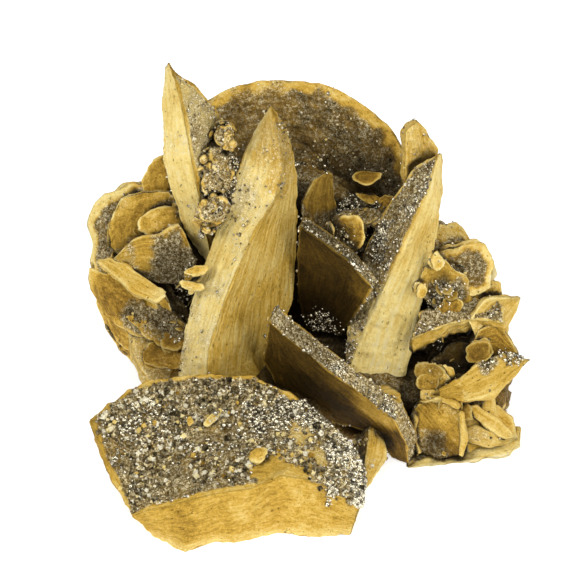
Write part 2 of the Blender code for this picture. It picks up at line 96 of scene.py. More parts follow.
PLATES = (
    Plate("front_slab", "slab", (-13, -17, 14), 0, 70, 12,
        ((-23.5, 2.5, -1), (-17, 8.5), (-12, 10.5), (-3, 11.5), (4.5, 11), (10.5, 7.5), (17, 1),
        (21, -3, -1), (23, -7.5, -3), (22, -12.5, -4.5), (16, -9.5, -1.5), (9, -9, 0.5),
        (4.5, -11.5, 0.5), (-2.5, -12.5), (-13.5, -14, -3), (-16, -14.5, -4), (-21, -4.5, -2)),
        ((-21, -0.5), (-15.5, 11), (-12, 12), (-3, 13), (4, 13), (10.5, 10), (17, 3.5),
        (21, 0), (23, -6, 1), (20.5, -15, 2), (13, -16, 2), (8, -14.5, 2),
        (0.5, -17.5, 2), (-2.5, -17.5, 2), (-7, -20.5, 3), (-11.5, -15.5, 2), (-17.5, -7.5, 2))),
    Plate("slab_shard", "golden", (12, -12, 5), 35, 55, 8,
        ((1.5, 5), (3, 4.5), (3, 0.5), (1.5, -1.5), (-1, -3), (-5, -5), (-3.5, -1.5)), 1.1),
    Plate("central_blade", "central", (-7.5, 5, 31.5), 46, 3, 7.5,
        ((4, 30.5), (7, 26), (8.5, 21.5), (9.5, 14.5), (9, 4), (7.5, -7.5), (1, -27.5),
        (-15, -20.5), (-13.2, -9.1), (-8.8, -1.7), (-3.8, 5.3), (-0.7, 8.8), (4.1, 12.1), (6.6, 17.5),
        (5.5, 24.5)),
        ((10.9, 24.1), (11.5, 22.5), (11.2, 18), (10.5, 11), (10, 0.5), (8.5, -11.5), (0.5, -30.5),
        (-15, -22.5), (-12, -10.4), (-9, -3.5), (-5.9, 1.6), (-2.7, 6.7), (0.2, 12.2), (4.6, 18.6),
        (8.2, 22.3))),
    Plate("left_blade", "left", (-17, 12, 51.5), 54, 5, 5,
        ((-7, 20), (-5.5, 17.5), (-1, 13), (4, 6), (6.5, 0), (8.5, -5), (8.5, -12.5), (5.5, -19),
        (-0.5, -24), (-2, -15), (-2.5, -8), (-3.5, -0.5), (-4, 6), (-5, 13)),
        ((-2, 15.5), (-1, 14), (1, 10.5), (5.5, 4), (8, -2), (9.5, -7), (9, -14), (6.5, -21),
        (3, -27), (-1, -18), (-4, -8.5), (-5.5, -1), (-4.5, 6.5), (-3.5, 12))),
    Plate("right_blade", "right", (15.5, 8, 33.5), -50, 25, 8,
        ((1.5, 19), (2.4, 12), (1.5, 4), (0.5, -6), (-0.4, -15), (-0.5, -24.5), (-3, -21), (-6, -12),
        (-7, -3), (-5.5, 6), (-2.5, 15)),
        ((-4.5, 16.5), (-1.5, 11), (0.5, 5.5), (2.5, -4), (4, -13), (5.8, -24), (2.2, -27),
        (-5, -18), (-6.5, -6), (-6, 4), (-5.5, 13))),
    Plate("blade_behind", "pale", (19.5, 17, 49), 20, 10, 4,
        ((-2.5, 3), (-1.5, 4), (0, 4.5), (2, 1.5), (3.5, -1.5), (4, -10), (-0.5, -14), (-3, -6)), 0.9),
    Plate("upper_plate", "plate", (4, 4, 33.5), -28, -15, 4,
        ((-4.6, 8), (-1.5, 6.3), (4, 2.6), (8, -2.8), (6, -7.5), (3, -13), (0, -18.5), (-7, -20),
        (-7.5, -13), (-6.5, -1)), 1.0),
    Plate("lower_plate", "plate", (4, -8, 18.5), -30, -20, 4.5,
        ((-9.5, 11.5), (-6, 7.5), (0, 2.5), (6, -2), (11.5, -6.5), (13, -13.5), (12, -21),
        (9.5, -23), (8, -17.5), (4.5, -13.5), (-4.5, -15), (-11, -12.5), (-13.5, -2)), 1.0),
    Plate("foot_wedge", "golden", (15.5, -5.5, 5), 30, 10, 8,
        ((-3, 7.5), (2, 6.5), (3, 0.5), (3.5, -5), (2, -9.5), (0.5, -6), (-1.5, 0.5)), 1.0),
    Plate("hollow_blade", "amber", (2.5, 14, 41), 25, 10, 2.5,
        ((2, 4), (3, 3), (3, 0), (3, -10), (0, -15), (-4, -12), (-3.5, -0.5), (-2, 1.5), (-1, 3)), 0.9),
    Plate("rosette_plate", "petal", (-26.5, 9, 32.5), -5, 40, 3,
        ((-6.5, -1.5), (-3.5, 2), (-1.5, 3), (1.5, 3.5), (4.5, 5.5), (5.5, 4.5), (8, -1),
        (6.5, -5.5), (2, -5.5), (-3.5, -3.5)), 0.9),
    Plate("rosette_blade", "golden", (-30, 5, 30.5), -20, 62, 2,
        ((-6.5, 1.5), (-4.5, 2.5), (-1.5, 2), (4, 0), (7.5, -2), (6.5, -4), (2.5, -3.5), (-1.5, -1.5),
        (-5, 0.5)), 0.9),
    Plate("right_triangle", "golden", (33.5, 7, 21.5), 25, 12, 3,
        ((-4, 2), (-2.5, 3), (-0.5, 3), (2.5, 2), (4.5, 1.5), (3.5, -0.5), (2, -4), (0.5, -6),
        (-4, -7), (-6, -0.5)), 0.9),
    Plate("right_ledge", "ledge", (26, 1.6, 20.4), -8, 72, 3.8,
        ((-7.7, -1.7), (-7, 4), (-3.5, 7.5), (1.6, 8.5), (7.3, 7), (8, 3.1), (5.4, 3.6), (1.9, 3.4),
        (-1.4, 2.2), (-4.6, 0.2)), 1.0),
    Plate("right_backing", "amber", (32.5, 4, 16.5), 5, 15, 3.5,
        ((-2.6, 2.9), (1.2, 4.5), (3.1, 0.7), (4.7, -2.3), (1.2, -3.2), (-2.3, -2.2), (-4, 0.2)), 1.0),
    Plate("right_point", "golden", (33, -1, 12.5), 15, 50, 5,
        ((-2.5, 3.8), (2.6, 4.9), (6.9, 2.8), (3.3, 0), (-0.3, -2.5), (-5.4, -2.9), (-10.5, -1.4),
        (-10.8, 0.4), (-7.2, 1.3)), 0.9),
    Plate("striated_block", "block", (22, -6, 6.5), -10, 20, 8,
        ((-3.7, 2.9), (-2.5, 4.3), (0.9, 5.2), (3.7, 4.4), (5.2, 2.6), (5.9, -1.9), (5.4, -4.6),
        (1.6, -6), (-2.2, -5.5), (-3.7, -1.1)), 0.95),
    Plate("block_rim_left", "golden", (21.9, -6.7, 6.8), -10, 20, 2,
        ((-3.9, 2.9), (-3.2, 3.3), (-2.8, 1), (-2.9, -1.5), (-1.5, -5), (-2.3, -5.7), (-3.9, -1.2)), 0.95),
    Plate("block_rim_right", "pale", (21.9, -6.7, 6.8), -10, 20, 2,
        ((4.3, 3.2), (5.3, 2.9), (6.1, -1.9), (5.6, -5), (4.7, -4.7), (5.1, -1.9), (4.6, 0.6)), 0.95),
    Plate("block_rim_top", "golden", (21.9, -6.5, 6.8), -10, 20, 2,
        ((-2.6, 4.2), (0.9, 5.4), (3.8, 4.7), (4.4, 3.4), (3.2, 3.7), (0.9, 4.5), (-2.4, 3.4)), 0.95),
    Plate("right_prism", "golden", (31.5, -1.5, 9.5), 10, 20, 5,
        ((-1.5, 1), (0, 3), (1.5, 1), (2, -6), (0.5, -7), (-1.5, -5)), 0.9),
    Plate("right_wall", "golden", (30, -3.5, 5), 10, 30, 6,
        ((-1.9, 3.7), (0.6, 4.5), (4.1, 3.1), (6, 0.5), (6.7, -3.1), (3.5, -5), (-2.5, -5),
        (-2.9, 0.2)), 1.0),
    Plate("right_fold", "golden", (30.2, -4.6, 6), 22, 30, 2,
        ((-1.2, 3.3), (0.3, 3.4), (3.9, 0.1), (6, -3.8), (4.2, -4.1), (1.5, -1.5), (-1.1, 1.2)), 0.9),
    Plate("right_fold_low", "pale", (29.2, -5, 4), 5, 35, 2,
        ((-2.2, 1.2), (0.5, 1.8), (3, 0.6), (5, -2), (2.5, -2.6), (-1.6, -1.6)), 0.9),
    Plate("right_foot", "golden", (27.5, -5, 1.5), 0, 70, 6,
        ((-10, -1.5), (-4.5, 1.5), (1, 3.5), (6, 4.5), (10, 4), (10, 1), (8, -1.5), (1.5, -3),
        (-5, -4), (-10, -4.5)), 0.95),
)

PETALS = (
    Petal("back_disc", "disc", (-3, 23.5, 35.5), -4, 18, (22.5, 19.5), 0, 4, 0),
    Petal("rosette_back", "banded", (-29.5, 18, 29.5), -20, 12, (11.5, 9), 65, 3.5, 5),
    Petal("rosette_lobe", "petal", (-25, 18.5, 40.5), -10, 12, (5, 3.5), 70, 3, 3),
    Petal("rosette_mid", "petal", (-27.5, 15.5, 33), -15, 20, (8, 6.5), 50, 3, 5),
    Petal("rosette_inner", "petal", (-24, 13, 36), 5, 25, (5, 3), 10, 2.5, 3),
    Petal("rosette_low", "golden", (-32, 6, 23.5), -25, 5, (8, 4.5), 135, 3, 3),
    Petal("rosette_shelf", "petal", (-26, 3.5, 21.5), -15, 30, (6, 3.5), 150, 3, 4),
    Petal("rosette_lens", "amber", (-22.5, 2, 20), 0, 45, (3, 2.5), 50, 2.5, 3),
    Petal("rosette_lens_low", "amber", (-24.5, 1, 16.5), -10, 40, (4, 2.5), 170, 2.5, 3),
    Petal("rosette_foot", "petal", (-29.5, 7, 19), -30, -5, (11.5, 7.5), 125, 4, 5),
    Petal("lump_high", "crumb", (-13.5, 12, 51), 70, 30, (3, 2), 60, 5, 3),
    Petal("lump_mid", "crumb", (-14.5, 9.5, 47.5), 20, 20, (2.5, 3.5), 30, 4, 3),
    Petal("lump_low", "crumb", (-14.5, 6.5, 43.5), 60, 50, (3.5, 2.5), 160, 5, 3),
    Petal("stub_high", "golden", (-18.5, 2, 33.5), -10, 35, (2.1, 1), 15, 3, 3),
    Petal("stub_low", "golden", (-19.3, 1, 31), -10, 35, (2, 0.9), -10, 3, 3),
    Petal("hollow_disc", "amber", (7.5, 9.5, 36), -38, 30, (3.4, 2.8), 120, 1.3, 3),
    Petal("hollow_shelf", "crumb", (9.4, 14, 37.2), 0, 70, (3.8, 1.8), 5, 2.5, 3),
    Petal("hollow_ridge", "golden", (3.6, 7.6, 36.6), -62, 20, (2.9, 1.6), 110, 0.9, 3),
    Petal("flake_high", "amber", (10.6, 20.5, 40.5), -25, 72, (2.6, 1.6), 25, 1, 3),
    Petal("flake_mid", "amber", (11.3, 18.8, 37.2), 10, 62, (2.6, 1.1), 150, 1, 3),
    Petal("flake_low", "amber", (13.8, 17.5, 36.8), -30, 55, (1.6, 2.2), 10, 1.2, 3),
    Petal("knob_high", "golden", (22.8, 6.5, 32), 20, 20, (1.7, 1), 80, 3, 3),
    Petal("knob_low", "golden", (20.2, 5, 27), 20, 20, (1.3, 1), 80, 4, 3),
    Petal("right_back", "banded", (26, 16, 27.5), 15, 20, (6.5, 4), 120, 3, 4),
    Petal("right_cup", "banded", (27.8, 11.5, 27.4), -12, 36, (5.4, 4.9), 145, 2, 3),
    Petal("right_curl", "petal", (24.6, 8.2, 25), 16, 24, (6.2, 4.3), 125, 1.3, 2),
    Petal("right_bud", "amber", (25, 6.5, 22.5), -5, 30, (2.5, 2), 0, 3, 3),
    Petal("right_bit", "golden", (31.6, 9.5, 23.6), 5, 25, (3, 2.2), 20, 3, 3),
    Petal("right_round", "amber", (29.8, 1.5, 16.6), -12, 25, (2.4, 2.1), 30, 2.6, 4),
    Petal("low_round_back", "amber", (21.4, -1, 14), -5, 30, (2.6, 2.1), 0, 2.6, 3),
    Petal("low_round_front", "amber", (21.8, -2, 12.6), 5, 30, (2.7, 2), 0, 2.6, 3),
    Petal("low_shelf", "golden", (23.8, -3, 11), 5, 45, (4.6, 2.2), 5, 3, 3),
    Petal("spike_high", "golden", (25, -0.6, 14), 30, 15, (2.2, 0.7), 115, 1, 3),
    Petal("spike_low", "golden", (24.2, -1.2, 13), 10, 15, (2, 0.7), 125, 1, 3),
    Petal("right_floor", "banded", (22, 12, 24), -10, 35, (6, 5), 20, 3, 4),
    Petal("right_step", "druse", (22.5, 7.5, 16), -10, 30, (5, 4), 160, 3, 4),
    Petal("right_middle", "amber", (28, 3, 12), 0, 20, (7, 5), 0, 4, 4),
    Petal("rear_left", "rear", (-17, 26, 20), 205, 20, (12, 9), 40, 4, 5),
    Petal("rear_left_high", "rear", (-14, 27.5, 32), 200, -12, (9, 7), 110, 3, 4),
    Petal("rear_right", "rear", (15, 26.5, 17), 160, 25, (12, 9), 140, 4, 5),
    Petal("rear_high", "rear", (3, 30.5, 37), 185, -15, (12, 10), 20, 3, 4),
    Petal("rear_high_lens", "rear", (6, 31, 31), 170, 30, (8, 5), 30, 3, 4),
    Petal("rear_middle", "rear", (-4, 31, 22), 190, 20, (9, 7), 150, 3.5, 4),
    Petal("rear_low", "rear", (-4, 29, 8), 180, 40, (11, 7), 0, 4, 4),
    Petal("rear_low_right", "rear", (15, 24, 8), 150, 35, (9, 6), 10, 4, 4),
    Petal("rear_low_left", "rear", (-20, 22, 8), 215, 35, (9, 6), 170, 4, 4),
    Petal("rear_corner", "rear", (27, 21, 20), 120, 20, (9, 7), 60, 4, 4),
    Petal("rear_corner_high", "rear", (20, 25, 28), 140, -5, (8, 6), 70, 3, 4),
    Petal("side_left", "rear", (-31, 16, 14), 255, 15, (8, 6), 30, 4, 4),
    Petal("side_left_rear", "rear", (-31, 22, 25), 240, 10, (8, 7), 60, 3.5, 4),
    Petal("side_right", "rear", (30.5, 12, 15), 80, 25, (7, 6), 60, 4, 4),
    Petal("side_right_low", "rear", (34, 5, 8), 85, 20, (6, 5), 10, 4, 3),
    Petal("lump_backing", "druse", (-15.2, 10.5, 43.5), -10, 22, (8, 3), 80, 3, 3),
    Petal("lump_top", "crumb", (-13.2, 11.5, 54), 20, 20, (1.6, 2), 30, 3, 3),
    Petal("rosette_druse", "druse", (-22, 7.5, 24), 5, 20, (7, 5), 90, 3, 3),
    Petal("rosette_toe", "pale", (-26, 4.5, 12), -15, 20, (7, 5), 120, 3, 4),
    Petal("right_druse", "druse", (24.5, 9.5, 24.5), 0, 30, (4.5, 3.5), 60, 3, 3),
    Petal("rosette_base", "pale", (-26.5, 3.2, 13.9), -10, 15, (5.2, 3.6), 120, 2.4, 3),
    Petal("rosette_base_low", "pale", (-23.7, 3.0, 11.6), 5, 25, (3.8, 2.8), 30, 2.4, 3),
    Petal("slab_knob", "golden", (-8.1, -23.2, 13.8), -10, 60, (1.8, 1.5), 20, 2.8, 3),
    Petal("slab_flake", "golden", (-15.6, -15.2, 15.3), 15, 60, (2.1, 0.7), 35, 0.9, 3),
    Petal("slab_chip", "golden", (-19.5, -15.4, 15.0), -20, 60, (1.2, 0.8), 120, 0.9, 3),
    Petal("hollow_druse", "druse", (8, 16, 32), -10, 30, (8, 6), 20, 3, 3),
)


# Lumps of the same mineral between and under the crystals: middle and half sizes.
Lump = namedtuple("Lump", "name look place half_sizes")
LUMPS = (
    Lump("lump_core", "lump", (0, 11, 5.5), (27, 15, 8)),
    Lump("lump_right", "lump", (24, 6, 5), (12.5, 8.5, 7.5)),
    Lump("lump_left", "lump", (-22, 15, 18), (11, 8, 13)),
    Lump("lump_rear", "lump", (3, 24, 20), (19, 7.5, 19)),
)
# Balls inside which a crystal's values are others: middle and radius in mm, and the values that
# differ. Later ones lie over earlier ones. The value after the crust is painted shade: how much of
# the dark recess colour is laid on, for the shade that falls there.
Spot = namedtuple("Spot", "place radius tone crust dirt pyrite", defaults=(None,) * 4)
SPOTS = {
    "central_blade": (
        Spot((-6, 4, 30), 60, dirt=0.03), Spot((-3.4, 10.5, 52), 7, tone=0.68, crust=0.45),
        Spot((-2.9, 10.9, 46), 4, tone=0.7, crust=0.4)),
    # The right blade's tone spot is painted light: its wall is drawn lighter low down.
    "right_blade": (
        Spot((19, 5, 28), 60, dirt=0.02), Spot((17, 2, 18), 13, tone=0.97),
        Spot((17, 2, 18), 9, pyrite=0, crust=0.05)),
    "left_blade": (Spot((-17, 10, 45), 60, dirt=0.06),),
    "rosette_druse": (Spot((-22, 7.5, 24), 12, dirt=0.7, pyrite=0.8),),
    "rosette_lens": (Spot((-22.5, 2, 20), 6, dirt=0.45),),
    "rosette_lens_low": (Spot((-24.5, 1, 16.5), 6, dirt=0.3),),
    "hollow_shelf": (Spot((9.4, 14, 37.2), 7, dirt=0.5),),
    "rosette_base": (Spot((-26.5, 3.2, 13.9), 9, dirt=0.1),),
    "rosette_base_low": (Spot((-23.7, 3, 11.6), 9, dirt=0.15),),
    "rosette_toe": (Spot((-26, 4.5, 12), 9, dirt=0.15),),
    "right_round": (Spot((29.8, 1.5, 16.6), 5, dirt=0.3),),
    "low_round_back": (Spot((21.4, -1, 14), 5, dirt=0.4),),
    "low_round_front": (Spot((21.8, -2, 12.6), 5, dirt=0.2),),
    "hollow_blade": (Spot((3, 14, 36), 11, dirt=0.5),),
    "right_foot": (Spot((27.5, -6, 2.5), 14, tone=0.92),),
    # The upper plate's spots lay painted shade over it, fullest towards its foot.
    "upper_plate": (
        Spot((3.6, 9, 17.5), 5, pyrite=0.12), Spot((1.5, 8, 25), 12, dirt=0.9),
        Spot((3.3, 3.3, 35.8), 10, dirt=0.74), Spot((0.9, 10.2, 18.4), 9, dirt=1)),
    "front_slab": (
        Spot((-0.9, -26.3, 10.6), 4.6, crust=0), Spot((-5.9, -25, 11.1), 4.6, crust=0),
        Spot((3.2, -26.4, 10.7), 3.2, crust=0.1), Spot((2.1, -22.4, 12), 3.6, crust=0.4),
        Spot((-0.6, -17.9, 13.7), 3.2, crust=0.45), Spot((-16.1, -15.1, 14.7), 1.8, crust=0.2),
        Spot((-14.3, -18.8, 13.3), 7, tone=0.45), Spot((-24, -22, 12.3), 6, tone=0.4),
        Spot((1, -20, 13), 6, tone=0.8), Spot((7.4, -27, 10.4), 5, crust=1),
        Spot((7.3, -20.5, 12.7), 6, crust=1), Spot((4.5, -12.5, 15.6), 5, crust=1),
        Spot((7.6, -26.5, 10.6), 5, pyrite=1.4), Spot((7, -19.5, 13), 5, pyrite=1.4),
        Spot((1.5, -13, 15.4), 5, pyrite=1.8), Spot((-6, -15.1, 14.7), 5, pyrite=1.8),
        Spot((-27, -15, 14.7), 6, pyrite=0.8), Spot((-17.8, -11.3, 16.1), 5, pyrite=0.3)),
    # The lower plate's spots lay painted shade over it, deepest low down.
    "lower_plate": (
        Spot((-0.9, -7.3, 23), 8, dirt=0.4), Spot((-2.6, -3.4, 16.6), 9, dirt=0.6),
        Spot((0.9, -3.7, 11.5), 7, dirt=0.85), Spot((6, -4.5, 7.5), 6, dirt=0.6),
        Spot((11, -10.3, 13.5), 5.5, dirt=0, tone=0.6)),
    "right_back": (
        Spot((27, 15.5, 27), 9, dirt=0.1, crust=0.35, tone=0.75),
        Spot((26.6, 14, 33), 4.5, tone=1, crust=0.1)),
    "rosette_back": (
        Spot((-39, 14.5, 33), 4.5, crust=0, tone=0.85), Spot((-38.5, 13.5, 28), 4.5, crust=0, tone=0.85)),
    "back_disc": (
        Spot((-7.8, 27.2, 45.7), 12, crust=0.6), Spot((13.1, 21.5, 32.8), 10, dirt=0.8),
        Spot((7.9, 22.9, 36), 8, dirt=0.75), Spot((2.9, 28.8, 53.2), 3, pyrite=1.2),
        Spot((-0.8, 23.4, 35.7), 7, pyrite=1)),
    "rosette_plate": (
        Spot((-22.5, 6.5, 30), 7.5, crust=1), Spot((-22.5, 6.5, 30), 6, dirt=0.75),
        Spot((-21.5, 6, 29.5), 4, pyrite=0.5)),
    "rosette_shelf": (
        Spot((-22.8, 2.4, 21.5), 5.8, crust=1), Spot((-22.8, 2.4, 21.5), 5.2, dirt=0.72),
        Spot((-21.8, 2, 20), 3.5, pyrite=0.5)),
    "rosette_low": (
        Spot((-28, 4.3, 22), 4.2, crust=0.95), Spot((-27, 4, 20.5), 4, dirt=0.5),
        Spot((-32, 6, 24.5), 6, tone=0.42)),
    "rosette_foot": (Spot((-26.5, 3.8, 17.5), 8, tone=0.8, crust=0.02, dirt=0.05),),
    "right_point": (
        Spot((31.4, 1.1, 14.5), 2.2, crust=1, pyrite=4), Spot((35.8, 3.4, 15.4), 2.4, pyrite=4),
        Spot((24.5, -3, 11.5), 4, tone=0.5)),
    "striated_block": (
        Spot((23, -8, 2.4), 5, crust=0.75), Spot((23, -8, 2.4), 5.5, tone=0.25),
        Spot((23, -8, 2.4), 4, dirt=0.3)),
    "hollow_disc": (Spot((7.5, 9.5, 34.5), 3, dirt=0.3),),
    "right_middle": (Spot((28, 3, 14), 7, dirt=0.95),),
    "hollow_druse": (Spot((8, 16, 33), 9, dirt=0.75, pyrite=2),),
    "right_curl": (
        Spot((23.8, 7.6, 24), 4.5, crust=0.9), Spot((23.8, 7.6, 24), 5, dirt=0.68),
        Spot((23.4, 7.4, 23.6), 3, pyrite=1.5)),
    "right_druse": (Spot((24.5, 9.5, 24.5), 6, dirt=0.6, pyrite=2),),
    "lump_backing": (Spot((-15.2, 10.5, 43.5), 10, pyrite=0.12),),
    "right_step": (Spot((22.5, 7.5, 16), 7, dirt=0.95),),
}

# Plates whose own thickness is this share of the solid that stands for them and what backs them.
THIN = {"hollow_blade": 0.45, "rosette_plate": 0.5, "rosette_blade": 0.7, "right_triangle": 0.5,
        "right_point": 0.6, "upper_plate": 0.55, "lower_plate": 0.75, "right_prism": 0.6,
        "blade_behind": 0.7}

# The pieces of the specimen, each with the crystals that it holds and the size of its mesh cells. A
# name that ends in _ stands for all the crystals whose names start so and that no piece names in full.
PIECES = {
    "front_slab": (("front_slab", "slab_"), 0.28),
    "central_blade": (("central_blade",), 0.22),
    "left_blade": (("left_blade", "lump_", "stub_"), 0.24),
    "right_blade": (("right_blade", "blade_behind", "knob_"), 0.24),
    "back_disc": (("back_disc",), 0.36),
    "inner_plates": (("upper_plate", "lower_plate", "foot_wedge"), 0.3),
    "hollow_crystals": (("hollow_", "flake_"), 0.3),
    "left_rosette": (("rosette_",), 0.48),
    "right_cluster": (("right_", "low_", "spike_", "block_", "striated_block"), 0.37),
    "rear_crystals": (("rear_", "side_"), 0.72),
    "core": (("lump_core", "lump_right", "lump_left", "lump_rear"), 0.7),
}


# ---------------------------------------------------------------- noise

PRIMES = (73856093, 19349663, 83492791)  # these spread a cell's three indices over all the bits
SEED_PRIME, MIXING_PRIME, MIXING_SHIFTS = 2654435761, 1274126177, (13, 16)
BITS_32, BITS_16 = 0xFFFFFFFF, 0xFFFF
FIRST_SEED, SEED_STEP = 7, 31  # of the crystals, with room between them for the noises below

# The noises that shape and colour a crystal: size in mm, octaves, and what is added to its seed.
Waves = namedtuple("Waves", "size octaves seed")
PATCHES = Waves(5, 4, 0)
SPOT_EDGES = Waves(2, 2, 0)
CRUMB_CLUMPS = Waves(3, 3, 0)
RIM_WAVES = Waves(2, 2, 5)
OUTLINE_WAVES = Waves(0.7, 4, 5)
SWELLS = Waves(8, 2, 9)
GRIT = Waves(0.9, 2, 11)
RAGS = Waves(2.4, 3, 13)
TERRACE_WAVES = Waves(5, 3, 15)
SUGAR = Waves(1.5, 3, 17)
CLUMPS = Waves(4, 2, 21)
SMALL_CLUMPS = Waves(1.3, 2, 23)
CREVICE_WAVES = Waves(3, 3, 25)
CRUST_EDGES = Waves(2.5, 3, 27)
PYRITE_EDGES = Waves(2, 3, 29)


def smooth(share):
    """A share from 0 to 1 with a level start and end."""
    return share * share * (3 - 2 * share)


def step(low, high, value):
    """A smooth step from 0 at low to 1 at high."""
    return smooth(np.clip((value - low) / (high - low), 0, 1))


def lattice(cell, seed):
    """A number from -1 to 1 for each whole-number cell: its three indices with their bits mixed."""
    mixed = np.bitwise_xor.reduce(cell * PRIMES, axis=-1)
    mixed = (mixed ^ (seed * SEED_PRIME)) & BITS_32
    mixed = ((mixed ^ (mixed >> MIXING_SHIFTS[0])) * MIXING_PRIME) & BITS_32
    return ((mixed ^ (mixed >> MIXING_SHIFTS[1])) & BITS_16) / (BITS_16 / 2) - 1


def noise(points, seed=0):
    """Value noise from -1 to 1: the eight numbers at the corners of a point's cell, blended by
    smooth steps of its place inside the cell."""
    low = np.floor(points).astype(np.int64)
    part = smooth(points - low)
    total = np.zeros(points.shape[:-1])
    for corner in np.ndindex(2, 2, 2):
        weight = np.where(np.array(corner, bool), part, 1 - part).prod(-1)
        total += weight * lattice(low + corner, seed)
    return total


def waves(points, kind, seed=0):
    """One kind of noise: to its first octave come others of half the size and half the height."""
    return sum(noise(points * (2 ** k / kind.size), seed + kind.seed + k) / 2 ** k
               for k in range(kind.octaves))


# ---------------------------------------------------------------- shapes

# A closed surface: points on a grid of rows from one end to the other and places around, the two end
# points, slow and fast coordinates of its growth lines, how far a point lies from the edge of its
# face, and its side, 0 for the broad face, 1 for the wall and 2 for the far side.
Surface = namedtuple("Surface", "points ends lines rim side")

TINY, SHORTEST = 1e-6, 1e-9  # keep a division off zero, the second that by a length
FEWEST_ROWS = 12  # along a plate or up a lump
FEWEST_ACROSS = 4  # across a plate's face, through it, or out to a petal's edge
FEWEST_AROUND, FEWEST_THROUGH = 18, 3  # round a petal and through it
FIRST_ROW, MORE_ROWS = 0.7, 0.4  # where a plate's first row lies, and how much longer it is, in rows
FIRST_RING = 0.6  # how far out a petal's first ring lies, in rings
LEAST_WALL = 0.05  # share of a wall that is kept where it starts at the ground
# How far apart a plate's growth lines lie, how long they are, and what sets them off from another's.
STREAK_WIDTH, STREAK_LENGTH, SLAB_STREAK_LENGTH, STREAK_SHIFT = 0.55, 7, 2.5, 3.7
# From a block's own axes to its markings, which run down to the right across its face.
BLOCK_LINES = np.array(((0.12, 0, 1.5), (-0.12, 0, 1.5), (0, 0.3, 0)))

PETAL_TAPER = 0.88  # far side of a petal against its face
LOBE_DEPTH = 0.05  # share of its half size that a petal's edge goes in and out
DISH = 0.04  # how far a petal's face curves, as a share of its size
# Share of its size that the edge of a petal of this half size wavers by, and how many times as much
# the edge of a smaller one does at most.
EDGE_WAVER, WAVERING, MOST_WAVER = 0.1, 6, 1.8
CORNERED = (2.5, 5)  # half sizes from which a petal starts to have corners, and has them in full
MORE_CORNERS = 5  # how many more corners than lobes a petal has
RIM_THINNING = 0.4  # share of its thickness that a petal loses from either side at its edge
PETAL_LINES = (2.2, 1.1)  # mm to a unit of a petal's growth lines, along its face and out from its middle
LUMP_ROUGHNESS = 0.06  # share of its half size that a lump's surface rises and falls
LUMP_WAVES = 5  # radians of its slowest wave in one half size
LUMP_LINES = 1.5
FAR_FROM_RIM = 9


def unit(vectors):
    return vectors / np.maximum(np.linalg.norm(vectors, axis=-1, keepdims=True), SHORTEST)


def turned(facing, lean):
    """The matrix that turns (across, up, out) of a face into the scene's axes."""
    f, tip = math.radians(facing), math.radians(90 - lean)
    turn = np.array(((math.cos(f), -math.sin(f), 0), (math.sin(f), math.cos(f), 0), (0, 0, 1)))
    return turn @ np.array(((1, 0, 0), (0, math.cos(tip), -math.sin(tip)),
                            (0, math.sin(tip), math.cos(tip))))


def corners_of(outline, depth):
    return np.array([((*corner, 0)[:3]) for corner in outline], float) - (0, 0, depth)


def along(chain, share):
    """Points at these shares of the length of a chain of corners."""
    length = np.r_[0, np.cumsum(np.linalg.norm(np.diff(chain, axis=0), axis=1))]
    return np.stack([np.interp(share * length[-1], length, chain[:, k]) for k in range(3)], -1)


def edge_distance(points, outline):
    """How far each point lies from the nearest side of an outline, both taken flat."""
    best = np.full(points.shape[:-1], np.inf)
    for start, end in zip(outline, np.roll(outline, -1, axis=0)):
        side = (end - start)[:2]
        reach = points[..., :2] - start[:2]
        share = np.clip(reach @ side / (side @ side), 0, 1)
        best = np.minimum(best, np.linalg.norm(reach - share[..., None] * side, axis=-1))
    return best


def height_of(points, plate):
    """How high points of a plate's own axes lie above the ground."""
    return points @ turned(plate.facing, plate.lean)[2] + plate.place[2]


def foot(near, far, plate):
    """Where each line from a near point to a far point meets the ground, or the far point."""
    high, low = height_of(near, plate), height_of(far, plate)
    share = np.where(low < 0, high / np.maximum(high - low, TINY), 1)
    return near + (far - near) * np.clip(share, LEAST_WALL, 1)[:, None]


def underside(one, other, one_foot, other_foot, across, plate):
    """The far side across each row: a straight line from one edge to the other, drawn in at an edge
    that lies under the ground so that it starts at that wall's foot."""
    first, last = height_of(one, plate), height_of(other, plate)
    meets = np.clip(first / np.where(abs(first - last) < TINY, TINY, first - last), 0, 1)
    both = (first < 0) & (last < 0)
    start = np.where(both, 0.5, np.where(first < 0, meets, 0))[:, None]
    stop = np.where(both, 0.5, np.where(last < 0, meets, 1))[:, None]
    line = one + (other - one) * across
    early = one_foot + (one + (other - one) * start - one_foot) * across / np.maximum(start, TINY)
    turning = one + (other - one) * stop
    late = turning + (other_foot - turning) * (across - stop) / np.maximum(1 - stop, TINY)
    return np.where(across < start, early, np.where(across > stop, late, line))


def two_chains(corners):
    """The numbers of the corners from one of the two that lie farthest apart to the other, both ways
    round the outline."""
    apart = np.linalg.norm(corners[:, None] - corners, axis=-1)
    low, high = np.unravel_index(np.argmax(apart), apart.shape)
    count = len(corners)
    return ([(low + k) % count for k in range((high - low) % count + 1)],
            [(low - k) % count for k in range((low - high) % count + 1)])


def shares(length, cell):
    """Shares from 0 up to 1, 1 left out, in steps of about a cell over this length."""
    return np.arange(0, 1, 1 / max(FEWEST_ACROSS, round(length / cell)))[:, None, None]


